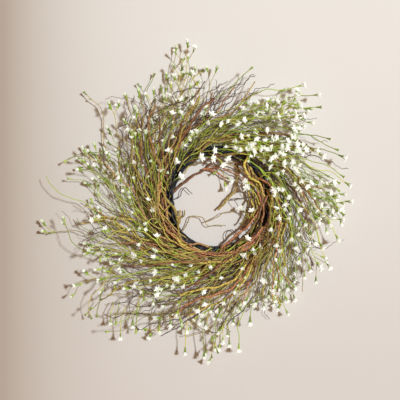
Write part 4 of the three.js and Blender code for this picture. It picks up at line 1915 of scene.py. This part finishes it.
# Each row is a LoneHead: x, y, root, size, height, white, hang.
LONE_HEADS = {
    "hole_spray": (
        (-75, 75, 175), (-67, 47, 165, 1.0, 30), (-28, 83, 140, 1.1), (-6, 81, 125, 1.1),
        (14, 70, 105, 1.05, 32), (23, 82, 98, 0.9, 30), (59, 26, -20, 1.2), (56, 37, -12, 1.0, 44),
        (48, -14, -45, 0.95, 34), (68, -18, -50, 0.8, 44), (60, -71, -75, 1.05),
        (-119, -17, 215, 1.1), (-105, 58, 180, 0.85), (-63, 108, 150, 1.2), (-3, 96, 120, 0.85),
        (73, 94, 85, 1.2, 46), (71, 104, 88, 1.0, 48),
    ),
    "blossom_spray_04": (
        (201, 177, 95, 1.0, 56, False), (165, 219, 105, 1.0, 56), (194, 201, 98, 0.9, 52),
        (70, 253, 115, 0.9, 60, False),
    ),
    "blossom_spray_03": (
        (217, 116, 82, 0.9, 58, False), (232, 95, 76, 0.9, 60, False), (243, 82, 70, 1.1, 56),
        (198, 89, 75, 0.9, 50, False), (243, 44, 62, 0.9, 58, False), (236, 32, 58, 0.9, 50, False),
        (253, 29, 55, 1.1, 56),
    ),
    "blossom_spray_10": (
        (236, 17, 52, 0.9, 48, False), (232, -15, 45, 0.9, 50, False),
        (243, -29, 42, 1.0, 56, False), (232, -74, 35, 1.1, 50), (209, -116, 22, 1.0, 52),
    ),
    "blossom_spray_13": (
        (-144, 131, 190, 1.2, 70), (-132, 129, 188, 1.25, 72), (-152, 126, 192, 1.0, 68),
        (-148, 168, 185, 1.0, 76), (-82, 164, 170, 1.1, 80), (-118, 146, 182, 0.9, 74),
    ),
    "blossom_spray_08": (
        (-59, -290, 0, 1.0, 40, True, 90), (-23, -298, 0, 1.0, 40, True, 100),
        (-2, -282, 0, 1.05, 44, True, 80), (25, -276, 0, 0.95, 40, True, 80),
        (43, -284, 0, 1.05, 42, True, 85), (64, -232, 0, 1.2, 50, True, 40),
    ),
    "blossom_spray_01": (
        (-182, -262, 0, 0.9, 40, True, 60), (-152, -253, 0, 0.9, 44, False, 50),
        (-226, -222, 0, 0.8, 46, False, 30), (-201, -234, 0, 0.9, 40, True, 40),
        (-190, -236, 0, 0.9, 48, False, 45), (-150, -218, 0, 0.95, 52, False, 40),
        (-108, -249, 0, 1.1, 48, True, 40), (-87, -236, 0, 1.0, 52, True, 30),
        (-158, -239, 0, 1.1, 40, True, 30), (-219, -190, 0, 0.9, 50, False, 22),
        (-192, -171, 0, 0.9, 54, False, 15), (-171, -165, 0, 0.9, 54, False, 12),
    ),
}


@dataclass(frozen=True)
class Heads:
    """The heads of companions: how likely none is, how likely open, sizes, tilts up, and sprigs."""

    bare: float
    open_share: float
    sizes: tuple[float, float]
    tilts: tuple[float, float]
    sprigs: Sprigs


@dataclass
class Spray(BundleLooks):
    """A spray of green stems with blossoms: more open ones at the right, more stems lower left."""

    blooms: Blooms

    spacing = 4.5
    thickness = 0.66
    companions = Companions(1.2, (0.7, 1.05), (0.7, 1.01), (0.0, 0.2), drift=2.5)
    inner = Companions(
        2.3, (0.6, 0.85), (0.42, 0.88), (0.0, 0.2), 4.0, 2.0, 0.15, 5, tier=3, heights=(0.4, 1.5)
    )
    outer_heads = Heads(
        0.4, 0.15, (0.75, 0.95), (0.0, 0.5), Sprigs(0.25, 0.12, (0.5, 0.8), (2, 4, 7))
    )
    inner_heads = Heads(
        0.0, 1.0, (0.8, 1.05), (0.2, 1.0), Sprigs(0.8, 0.8, (0.7, 0.95), (4, 10, 17, 24))
    )
    wander = Wander(1.4, 75, sway=8, sway_wave=150)
    closed = ()
    tints = (0.15, 0.85)
    bright_side, brighter = 15, 0.3
    sides_phase, sides_brighter = 0.35, 0.17
    cup_tints = (0.68, 1.0)
    cup_lengths = (1.0, 1.25)
    open_side, small_share = -8, 0.42
    small_widths, small_tints = (0.5, 0.85), (0.1, 0.6)
    full_widths = (1.05, 1.35)
    rim, rim_width = 200.0, 0.85
    width_play = (0.8, 1.2)
    petal_lengths = (1.0, 1.5)
    own_sprigs, fewer_sprigs, sprig_side = 0.33, 0.28, 65
    droop_side, droop_more, droop_reach = 245, 3.0, 0.19
    low_side, more_low = 215, 1.5
    inner_side, more_inner = -5, 1.3

    @property
    def lone_heads(self) -> list[LoneHead]:
        """Return the blossoms that stand apart and go with this spray."""
        return [LoneHead(*row) for row in LONE_HEADS.get(self.bundle.name, ())]

    def tint(self) -> float:
        """Draw a tint: brightest at the right, bright at the left, more olive between.

        Returns:
            The tint, from 0 to 1.
        """
        right = self.brighter * max(0.0, self.lean_to(self.bright_side))
        lean = right + self.sides_brighter * math.cos(2 * self.azimuth - self.sides_phase)
        return clamp(self.draw(*self.tints) + lean, 0, 1)

    def bloom(self, blossom: Blossom, white: bool) -> None:
        """Place one head, and keep its pieces.

        Args:
            blossom: where it is.
            white: whether it has opened.
        """
        draw, place = self.draw, self.blooms.place
        spin, tint = draw(0, FULL_SPIN), draw(*self.cup_tints)
        scale = (1, 1, draw(*self.cup_lengths))
        self.green.append(place(self.blooms.cup, blossom, spin, tint, scale))
        if white:
            small = draw() < self.small_share - self.small_share * self.lean_to(self.open_side)
            wide = draw(*(self.small_widths if small else self.full_widths))
            wide *= 1 if math.hypot(*blossom.centre[:2]) < self.rim else self.rim_width
            across = (wide * draw(*self.width_play), wide * draw(*self.width_play))
            scale = (*across, draw(*self.petal_lengths))
            tint = draw(*self.small_tints) if small else 1
            self.white.append(place(self.blooms.petals, blossom, spin, tint, scale))

    def add_sprigs(self, path: Sequence[np.ndarray], facing: np.ndarray, sprigs: Sprigs) -> None:
        """Place small side heads along a stem.

        Args:
            path: the stem's points.
            facing: the way that its end faces.
            sprigs: how they grow.
        """
        draw = self.draw
        for back in sprigs.back:
            if back + 2 > len(path) or draw() > sprigs.share:
                continue
            joint = path[-back] + (path[-back - 1] - path[-back]) * draw(0, sprigs.joint_play)
            aside = draw(*sprigs.angles) * (1 if draw() < 0.5 else -1)
            way = unit(turned(facing, UP, aside) + UP * draw(*sprigs.tilts))
            size = draw(*sprigs.sizes)
            head = Blossom(joint + way * SLEEVE_LENGTH * size, way, size)
            self.bloom(head, draw() < sprigs.open_share)

    def companion_heads(self, companions: Companions, heads: Heads) -> None:
        """Grow a set of companions with heads.

        Args:
            companions: the stems.
            heads: what they bear.
        """
        for strand in self.companion_strands(companions):
            self.stems.append(strand)
            if self.draw() < heads.bare:
                continue
            forward = unit(strand.points[-1] - strand.points[-3])
            facing = unit(forward + UP * self.draw(*heads.tilts))
            size = self.draw(*heads.sizes)
            head = Blossom(strand.points[-1] + facing * SLEEVE_LENGTH * size, facing, size)
            self.bloom(head, self.draw() < heads.open_share)
            self.add_sprigs(strand.points, forward, heads.sprigs)

    def add_lone_head(self, head: LoneHead) -> None:
        """Grow one thin stem with a blossom or a bud.

        Args:
            head: where it stands and what it bears.
        """
        stem = flower(Stem(head.path(), head.radius, head.radius), head.size, 0, head.tilt)
        points, steps = smooth(stem.path, self.spacing)
        points = replace(self.wander, held=True).apply(points, self.draw)
        radii = np.full(len(points), head.radius)
        self.stems.append(Strand(points, radii, self.draw(*head.tints), steps))
        self.bloom(stem.blossom, head.white)

    def crowd(self) -> tuple[Companions, Companions]:
        """Find how many companions grow here.

        Returns:
            The outer and the inner companions.
        """
        outer, inner, droop = self.companions, self.inner, max(0.0, self.lean_to(self.droop_side))
        count = outer.count + self.more_low * self.lean_to(self.low_side) + self.droop_more * droop
        reach = (outer.reach[0], outer.reach[1] + self.droop_reach * droop)
        inner_count = inner.count + self.more_inner * self.lean_to(self.inner_side)
        return replace(outer, count=count, reach=reach), replace(inner, count=inner_count)

    def build(self, green: bpy.types.Material, white: bpy.types.Material) -> None:
        """Model and dress the spray.

        Args:
            green: the stems' finish.
            white: the petals' finish.
        """
        self.stems, self.green, self.white = self.strands(), [], []
        for head in self.lone_heads:
            self.add_lone_head(head)
        share = self.own_sprigs - self.fewer_sprigs * self.lean_to(self.sprig_side)
        sprigs = replace(self.outer_heads.sprigs, share=share, back=(1, 1))
        for order, stem in enumerate(self.bundle.stems):
            if stem.blossom:
                self.bloom(stem.blossom, order not in self.closed)
                self.add_sprigs(stem.path, stem.blossom.facing, sprigs)
        outer, inner = self.crowd()
        self.companion_heads(outer, self.outer_heads)
        self.companion_heads(inner, self.inner_heads)
        name = self.bundle.name
        stems = tubes(f"{name}.stems", self.stems, self.centre)
        report(joined(f"{name}.stems", [stems, *self.green]), green, "stem_green", name)
        report(joined(f"{name}.petals", self.white), white, "petal_white", name)


# ------------------------------------------------------------------ the ring and the hole


@dataclass(frozen=True)
class Winding:
    """A set of twigs wound along the ring: how many, about which azimuth, and their ranges.

    Spans are in radians, radii and levels in millimetres from the ring's axis and from the floor.
    """

    count: int
    middle: float
    spread: float
    spans: tuple[float, float]
    radii: tuple[float, float]
    levels: tuple[float, float]
    sizes: tuple[float, float]
    tints: tuple[float, float]
    sway: float


WINDINGS = (
    Winding(16, 258, 55, (1.0, 2.0), (96, 112), (18, 44), (1.2, 2.3), (0.72, 1.0), 5),
    Winding(12, 262, 55, (1.0, 2.0), (97, 136), (18, 48), (1.2, 2.4), (0.0, 0.8), 5),
    # Painted light: the set at the right leans to the lighter olive tints, as that side is lit
    # more.
    Winding(12, 5, 36, (0.9, 1.5), (57, 104), (12, 34), (1.4, 2.6), (0.35, 0.9), 10),
    Winding(2, 130, 30, (0.7, 1.2), (78, 90), (12, 22), (1.0, 1.6), (0.5, 1.0), 8),
    Winding(5, 75, 25, (0.9, 1.4), (60, 92), (12, 28), (1.0, 1.7), (0.3, 1.0), 8),
)
INNER_CORDS = Winding(5, 150, 25, (1.2, 1.8), (84, 90), (14, 28), (2.1, 2.7), (0.5, 0.5), 2)


@dataclass(frozen=True)
class Crossing:
    """One single stem that crosses the ring: its radius, its tint and its path."""

    radius: float
    tint: float
    path: tuple


CROSSING_TWIGS = [
    Crossing(*row)
    for row in (
        (2.7, 0.62, ((-113, 37, 26), (-98, 10, 36), (-75, -25, 34), (-71, -60, 26),
         (-60, -84, 18))),
        (1.6, 0.55, ((-88, -8, 34), (-99, -20, 38))),
        (2.8, 0.6, ((80, 104, 24), (62, 84, 36), (54, 65, 40), (62, 48, 38), (80, 36, 32),
         (94, 8, 24))),
        (2.5, 0.92, ((10, -90, 22), (38, -66, 32), (66, -42, 36), (84, -14, 30), (92, 20, 22))),
        (2.0, 0.3, ((20, -98, 26), (52, -70, 36), (78, -36, 38), (88, -4, 34), (84, 30, 28))),
        (2.4, 0.95, ((40, -92, 22), (17, -112, 40), (-2, -129, 50), (-35, -152, 58),
         (-62, -168, 58))),
        (2.2, 0.6, ((66, -84, 22), (55, -122, 42), (34, -148, 52), (8, -160, 58), (-36, -167, 60),
         (-68, -178, 58))),
        (2.1, 0.62, ((20, -98, 22), (-11, -118, 42), (-40, -144, 56), (-68, -152, 60),
         (-110, -155, 62))),
        (1.5, 0.55, ((0, -104, 22), (-36, -124, 42), (-84, -141, 54), (-131, -148, 58),
         (-165, -154, 60), (-215, -186, 60))),
        (2.4, 0.92, ((84, -56, 20), (66, -118, 38), (25, -167, 52), (-11, -179, 56),
         (-42, -188, 56), (-84, -220, 54))),
        (2.0, 0.6, ((86, -62, 20), (66, -130, 36), (30, -178, 46), (-11, -198, 52),
         (-51, -217, 52))),
        (1.9, 0.9, ((40, -95, 22), (11, -108, 34), (-36, -114, 48), (-84, -116, 56),
         (-131, -122, 58), (-179, -120, 62))),
        (2.9, 0.2, ((-92, 40, 20), (-118, 95, 52), (-126, 150, 72), (-114, 179, 78))),
        (2.0, 0.9, ((-88, 50, 20), (-104, 100, 54), (-106, 124, 66), (-105, 154, 76))),
        (2.1, 0.62, ((-97, 0, 20), (-140, 40, 48), (-158, 74, 62), (-156, 116, 74))),
        (2.0, 0.95, ((-95, 10, 20), (-125, 45, 46), (-139, 74, 58), (-143, 110, 70))),
        (2.2, 0.55, ((-86, 58, 22), (-78, 92, 42), (-68, 120, 58), (-53, 158, 70), (-30, 196, 78))),
        (2.4, 0.88, ((-88, 50, 22), (-72, 101, 48), (-49, 143, 66), (-30, 171, 74), (-2, 192, 76))),
    )
]
CROSSING_CURLS = [
    Crossing(*row)
    for row in (
        (0.8, 0.3, ((94, 8, 18), (72, 8, 24), (55, 6.7, 26), (43, 4.5, 26), (27, 3.2, 24))),
        (0.7, 0.3, ((46, 5, 26), (35, 2, 26), (40, -5, 26), (43.5, -10.6, 25))),
        (0.8, 0.3, ((88, -30, 20), (70, -22, 24), (60, -8, 26), (66, 6, 27), (58, 18, 26))),
        (1.0, 0.4, ((10, -190, 44), (-51, -217, 52), (-84, -226, 52), (-131, -236, 52),
         (-144, -243, 50), (-154, -236, 52))),
        (0.9, 0.4, ((-60, -205, 46), (-103, -215, 50), (-154, -213, 52), (-171, -213, 52),
         (-192, -220, 52), (-211, -215, 54))),
        (1.1, 0.5, ((-20, -205, 40), (-59, -230, 42), (-78, -243, 42), (-105, -255, 44))),
        (1.0, 0.4, ((-90, -165, 50), (-133, -173, 54), (-154, -167, 54), (-175, -162, 56),
         (-198, -154, 58))),
        (0.9, 0.4, ((-100, -190, 46), (-143, -200, 52), (-165, -192, 54), (-192, -194, 54))),
        (0.9, 0.4, ((40, -190, 44), (15, -228, 48), (6, -245, 48), (-8, -249, 48),
         (-15, -243, 48))),
        (1.0, 0.4, ((70, -180, 44), (53, -205, 46), (36, -220, 46), (19, -234, 44))),
        (0.9, 0.4, ((-110, -190, 52), (-135, -158, 58), (-146, -143, 58), (-171, -129, 60),
         (-180, -122, 60))),
        (0.9, 0.4, ((-21, 224, 76), (-40, 196, 80), (-68, 177, 82), (-99, 184, 82), (-112, 188, 80),
         (-122, 179, 78))),
        (0.9, 0.4, ((-21, 211, 76), (-49, 209, 82), (-80, 196, 84), (-76, 184, 84), (-57, 179, 84),
         (-49, 169, 80))),
        (0.9, 0.4, ((-63, 186, 80), (-87, 177, 84), (-118, 156, 86), (-114, 150, 86),
         (-103, 158, 86), (-87, 169, 84))),
        (0.9, 0.4, ((-114, 142, 80), (-118, 154, 84), (-108, 158, 86), (-105, 148, 86),
         (-114, 135, 86), (-125, 144, 86), (-131, 162, 86), (-125, 171, 82))),
        (0.9, 0.4, ((-167, 144, 74), (-184, 135, 80), (-177, 131, 82), (-175, 108, 82),
         (-179, 91, 80), (-171, 82, 76))),
        (0.9, 0.4, ((-220, 110, 74), (-211, 97, 78), (-211, 74, 78), (-198, 55, 72))),
        (0.8, 0.4, ((-96, 120, 74), (-112, 128, 82), (-120, 120, 84), (-110, 110, 84),
         (-98, 118, 84), (-92, 134, 82), (-80, 142, 78))),
        (0.8, 0.4, ((-140, 128, 78), (-150, 140, 84), (-142, 150, 84), (-132, 142, 84),
         (-138, 126, 82), (-146, 108, 78))),
    )
]


@dataclass
class WoundRing:
    """The black base ring of wound stems, with bark twigs wound round and over it."""

    centre: np.ndarray
    draw: Draw
    cords: int = 12
    cord_radius: float = 2.6
    cord_turns: int = 7
    cord_depth: float = 0.7
    cord_play: float = 0.8
    cord_points: int = 181
    heart_inset: float = 2.0
    heart_segments: int = 96
    heart_sides: int = 16

    twig_points, twig_pace = 12, 32
    twig_rise = 5.0
    twig_sways = (1.0, 2.0)
    twig_wander, stray_wander = Wander(1.6, 44), Wander(0.9, 38)
    twig_taper, stray_taper = 0.35, 0.25
    twig_knots, stray_knots = (22.0, 0.25), (20.0, 0.25)
    stray_spacing = 3.0

    def core(self) -> list[Strand]:
        """Wind the cords round the ring, half of them each way.

        Returns:
            A strand for each cord.
        """
        made = []
        for k in range(self.cords):
            turns = self.cord_turns if k % 2 else -self.cord_turns
            lift = self.draw(0, self.cord_play)
            angle = np.linspace(0, 2 * math.pi, self.cord_points) + self.draw(0, FULL_SPIN)
            tilt = turns * angle + 2 * math.pi * k / self.cords
            rise = RING_TUBE - self.cord_radius * self.cord_depth + lift
            radius = RING_RADIUS + rise * np.cos(tilt)
            level = np.maximum(RING_FLAT + rise * np.sin(tilt), self.cord_radius)
            points = np.stack([radius * np.cos(angle), radius * np.sin(angle), level], 1)
            made.append(Strand(points, np.full(len(points), self.cord_radius), 0.5, angle))
        return made

    def heart(self) -> bpy.types.Object:
        """Model the plain ring inside the cords.

        Returns:
            The ring.
        """
        bpy.ops.mesh.primitive_torus_add(
            major_radius=RING_RADIUS * MM,
            minor_radius=(RING_TUBE - self.heart_inset) * MM,
            major_segments=self.heart_segments,
            minor_segments=self.heart_sides,
            location=(*self.centre[:2], RING_FLAT * MM),
        )
        heart = bpy.context.object
        bpy.ops.object.transform_apply(location=True)
        return heart

    def wound(self, winding: Winding) -> list[Strand]:
        """Wind one set of twigs along the ring.

        Args:
            winding: the set.

        Returns:
            A strand for each twig.
        """
        draw, made = self.draw, []
        for _ in range(winding.count):
            middle = math.radians(winding.middle + draw(-winding.spread, winding.spread))
            span = draw(*winding.spans)
            count = max(self.twig_points, round(span * self.twig_pace))
            angle = middle + span * np.linspace(0.5, -0.5, count)
            share = np.linspace(0, 1, len(angle))
            start, end = draw(*winding.radii), draw(*winding.radii)
            sway = draw(-winding.sway, winding.sway)
            bend = np.sin(math.pi * share * draw(*self.twig_sways))
            radius = start + (end - start) * share + sway * bend
            height = draw(*winding.levels)
            level = height + draw(-self.twig_rise, self.twig_rise) * np.cos(math.pi * share)
            points = np.stack([radius * np.cos(angle), radius * np.sin(angle), level], 1)
            points = self.twig_wander.apply(points, draw)
            radii = draw(*winding.sizes) * (1 - self.twig_taper * share)
            radii = knobbly(radii, run_of(points), draw, *self.twig_knots)
            made.append(Strand(points, radii, draw(*winding.tints), angle))
        return made

    def crossing(self, crossing: Crossing) -> Strand:
        """Draw one stem that crosses the ring.

        Args:
            crossing: the stem.

        Returns:
            Its strand.
        """
        rough = [np.array(point, float) for point in crossing.path]
        points, steps = smooth(rough, self.stray_spacing)
        points = self.stray_wander.apply(points, self.draw)
        run = run_of(points)
        radii = crossing.radius * (1 - self.stray_taper * run / run[-1])
        radii = knobbly(radii, run, self.draw, *self.stray_knots)
        return Strand(points, radii, crossing.tint, steps)

    def build(
        self, black: bpy.types.Material, bark: bpy.types.Material, dark: bpy.types.Material
    ) -> None:
        """Model and dress the ring.

        Args:
            black: the cords' finish.
            bark: the twigs' finish.
            dark: the curls' finish.
        """
        cords = tubes("base_ring.cords", self.core() + self.wound(INNER_CORDS), self.centre)
        core = joined("base_ring.cords", [cords, self.heart()])
        report(core, black, "ring_core", "base_ring")
        strands = [strand for winding in WINDINGS for strand in self.wound(winding)]
        strands += [self.crossing(crossing) for crossing in CROSSING_TWIGS]
        twigs = tubes("base_ring.twigs", strands, self.centre)
        report(twigs, bark, "bark", "base_ring")
        strands = [self.crossing(crossing) for crossing in CROSSING_CURLS]
        curls = tubes("base_ring.curls", strands, self.centre)
        report(curls, dark, "tendril", "base_ring")


@dataclass(frozen=True)
class HoleStem:
    """One stray stem over the hole, as the part has it."""

    radius: float
    tip: float
    path: tuple
    on: int | None = None
    at: float = 0.0
    flower: float = 0.0


# Each row is a HoleStem: radius, tip, path, on, at, flower.
HOLE_PIECES = {
    "hole_twigs_right": (
        Kind.BARK,
        (2.8, 2.4, ((45.2, 81.5, 8.3), (42, 73, 8.3), (43.5, 50.7, 10), (35.7, 20, 14),
         (3.8, -16.3, 16))),
        (2.2, 1.8, ((60, 50, 10), (71, 24, 11), (70, -4, 11), (62, -30, 10), (51, -52, 10)), 0, 1.35
         ),
    ),
    "hole_twigs_top": (
        Kind.BARK,
        (3, 2.3, ((-92.4, 12, 8.3), (-84, 16, 8.3), (-60.4, 36.7, 9), (-22.8, 60.4, 10),
         (4, 80, 10.5))),
        (1.9, 1.6, ((4, 55, 14), (19, 43.7, 15), (33, 38, 15)), 0, 3.1),
    ),
    "hole_twigs_left": (
        Kind.BARK,
        (2.4, 2, ((-78.2, -50.8, 8.3), (-71, -43, 8.6), (-68.5, -18, 10))),
        (1.6, 1.3, ((-77, -25, 9), (-81, -13, 9)), 0, 1.3),
        (1.6, 1.3, ((-62, -28, 9), (-60, -18, 10)), 0, 1.4),
    ),
    "hole_tendril": (
        Kind.TENDRIL,
        (1.4, 0.9, ((-69.3, -62.4, 8.3), (-61, -54, 8.6), (-47.1, -30, 13), (-28.3, -31, 16),
         (-12, -49, 17), (1, -46, 16), (19, -47.7, 15))),
        (1.2, 0.8, ((-2, -33, 20), (14.8, -23.2, 21), (41.4, -19, 20)), 0, 3.5),
    ),
    "hole_curl_left": (
        Kind.TENDRIL,
        (1.3, 0.9, ((-93.2, 2, 8.3), (-84, 2.5, 8.3), (-71, 7, 10), (-64.6, 20, 12),
         (-58.9, 26, 13), (-52, 20, 14), (-45.8, 13, 14))),
    ),
    "hole_curl_right": (
        Kind.TENDRIL,
        (1.3, 0.9, ((48.4, -79.6, 8.3), (43, -70, 8.3), (36, -60, 9), (27.4, -56, 11),
         (20, -61, 12), (19, -77, 10), (11, -79, 9))),
    ),
    "hole_spray": (
        Kind.BLOSSOM,
        (1.4, 0.85, ((8.1, 92.8, 8.3), (9, 84, 8.6), (11, 70, 13), (15, 46, 21), (20, 24, 22)),
         None, 0.0, 1),
        (0.85, 0.85, ((-8, 50, 21),), 0, 2.2, 0.95),
        (0.85, 0.85, ((30, 38, 22),), 0, 2.6, 0.9),
    ),
}


def hole_bundle(name: str) -> Bundle:
    """Put the stems of one stray piece together.

    Args:
        name: the piece's node.

    Returns:
        A bundle in the top tier.
    """
    kind, *rows = HOLE_PIECES[name]
    bundle = Bundle(name, len(TIERS) - 1, kind, 0, Draw(1))
    for stem in (HoleStem(*row) for row in rows):
        path = [np.array(point, float) for point in stem.path]
        if stem.on is not None:
            path = [along(bundle.stems[stem.on].path, stem.at), *path]
        grown = Stem(path, stem.radius, stem.tip, stem.on, stem.at)
        if stem.flower:
            grown = flower(grown, stem.flower, 0, HOLE_BLOSSOM_TILT)
        if stem.on is not None:
            grown = elbowed(grown, bundle.stems[stem.on], bundle.habit.sides)
        bundle.stems.append(grown)
    return bundle


class HoleBark(BarkBundle):
    """Stray bark twigs over the hole."""

    wander = Wander(1.0, 40)
    red_piece = "hole_twigs_top"
    red_tints, brown_tints = (0.86, 1.0), (0.2, 0.75)

    def tint(self) -> float:
        """Draw a tint: red-brown over the top, brown or olive elsewhere."""
        red = self.bundle.name == self.red_piece
        return self.draw(*(self.red_tints if red else self.brown_tints))


class HoleTendril(BundleLooks):
    """A stray tendril over the hole."""

    spacing = 2.0
    wander = Wander(0.5, 25)

    def build(self, slot: str, material: bpy.types.Material) -> None:
        """Model and dress the tendril.

        Args:
            slot: the name of a material slot, handed on to report.
            material: its finish.
        """
        piece = tubes(f"{self.bundle.name}.curl", self.strands(), self.centre)
        report(piece, material, slot, self.bundle.name)


class HoleSpray(Spray):
    """The stray spray over the hole, and the blossoms nearest to it."""

    closed = (1,)

    def lean_to(self, degrees: float) -> float:
        """Return 1, so that the heads over the hole are open ones."""
        return 1.0

    def crowd(self) -> tuple[Companions, Companions]:
        """Return no companions."""
        none = replace(self.companions, count=0)
        return none, none


# ------------------------------------------------------------------ floor, light and camera


@dataclass(frozen=True)
class Lamp:
    """One lamp: its kind, its place from the ring's centre in metres, its power and its colour.

    Size is its width in metres, or a sun's angle in radians.
    """

    name: str
    kind: str
    place: tuple[float, float, float]
    energy: float
    colour: tuple[float, float, float]
    size: float


@dataclass
class Studio:
    """A pale ground, a cool sun and a soft lamp at the right, a warm sky and the camera above."""

    centre: np.ndarray
    frame_width: float = 0.76
    lens: float = 100.0
    sensor: float = 36.0
    mid_height: float = 0.04
    aim: tuple[float, float] = (-0.0304, 0.0019)
    floor_size: float = 6.0
    floor_drop: float = 0.0005
    sun: Lamp = Lamp("key", "SUN", (0.8, 0.22, 1.9), 2.76, (0.87, 0.96, 1.0), 0.075)
    soft: Lamp = Lamp("soft", "AREA", (1.6, 0.6, 1.6), 4, (1.0, 0.95, 0.86), 1.6)
    sky_colour: tuple = rgb(1.0, 0.60, 0.32)
    sky_strength: float = 0.265

    def floor(self) -> None:
        """Lay the ground."""
        drop = (0, 0, -self.floor_drop)
        bpy.ops.mesh.primitive_plane_add(size=self.floor_size, location=drop)
        floor = bpy.context.object
        floor.name = "floor"
        dress(floor, FloorFinish().material())

    def hang(self, lamp: Lamp) -> None:
        """Hang a lamp that shines at the wreath.

        Args:
            lamp: the lamp.
        """
        light = bpy.data.lights.new(lamp.name, lamp.kind)
        light.energy = lamp.energy
        light.color = lamp.colour
        setattr(light, "angle" if lamp.kind == "SUN" else "size", lamp.size)
        hung = bpy.data.objects.new(lamp.name, light)
        bpy.context.scene.collection.objects.link(hung)
        hung.location = Vector(lamp.place) + Vector(self.centre)
        hung.rotation_euler = Vector(lamp.place).to_track_quat("Z", "Y").to_euler()

    def sky(self) -> None:
        """Light the scene evenly from all round."""
        world = bpy.data.worlds.new("studio")
        bpy.context.scene.world = world
        graph = Graph(world)
        light = graph.node("ShaderNodeBackground", None, self.sky_colour, self.sky_strength)
        graph.finish(light)

    def camera(self) -> None:
        """Put the camera straight above the wreath."""
        data = bpy.data.cameras.new("camera")
        data.lens = self.lens
        data.sensor_width = self.sensor
        camera = bpy.data.objects.new("camera", data)
        bpy.context.scene.collection.objects.link(camera)
        height = self.mid_height + self.frame_width * self.lens / self.sensor
        camera.location = (self.centre[0] + self.aim[0], self.centre[1] + self.aim[1], height)
        bpy.context.scene.camera = camera

    def build(self) -> None:
        """Set the whole studio up."""
        self.floor()
        self.hang(self.sun)
        self.hang(self.soft)
        self.sky()
        self.camera()
        view = bpy.context.scene.view_settings
        view.view_transform = "Standard"
        view.look = "None"


def main() -> None:
    """Build the wreath and the studio, piece by piece."""
    logging.basicConfig(level=logging.INFO, format="%(message)s")
    centre = ring_centre()
    bark, tendril = BarkFinish().material(), TendrilFinish().material()
    green, white = GreenFinish().material(), PetalFinish().material()
    tan = TendrilFinish(
        "tan_tendril",
        dark=rgb(0.2, 0.12, 0.04),
        light=rgb(0.6, 0.46, 0.16),
        warm=rgb(0.5, 0.3, 0.1),
    ).material()
    shape = BlossomShape()
    blooms = Blooms(shape.petals(), shape.cup(), centre)
    for number, bundle in enumerate(all_bundles()):
        draw = Draw(BUNDLE_SEED + number)
        if bundle.kind is Kind.BARK:
            BarkBundle(bundle, centre, draw).build(bark)
        elif bundle.kind is Kind.TENDRIL:
            TendrilBundle(bundle, centre, draw).build(tendril)
        else:
            Spray(bundle, centre, draw, blooms).build(green, white)
    for number, name in enumerate(HOLE_PIECES):
        bundle, draw = hole_bundle(name), Draw(HOLE_SEED + number)
        if bundle.kind is Kind.BARK:
            HoleBark(bundle, centre, draw).build(bark)
        elif bundle.kind is Kind.BLOSSOM:
            HoleSpray(bundle, centre, draw, blooms).build(green, white)
        elif name == "hole_tendril":
            HoleTendril(bundle, centre, draw).build("tan_tendril", tan)
        else:
            HoleTendril(bundle, centre, draw).build("tendril", tendril)
    blooms.clear()
    black = RingFinish().material()
    WoundRing(centre, Draw(RING_SEED)).build(black, bark, tendril)
    Studio(centre).build()
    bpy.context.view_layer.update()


if __name__ == "__main__":
    main()
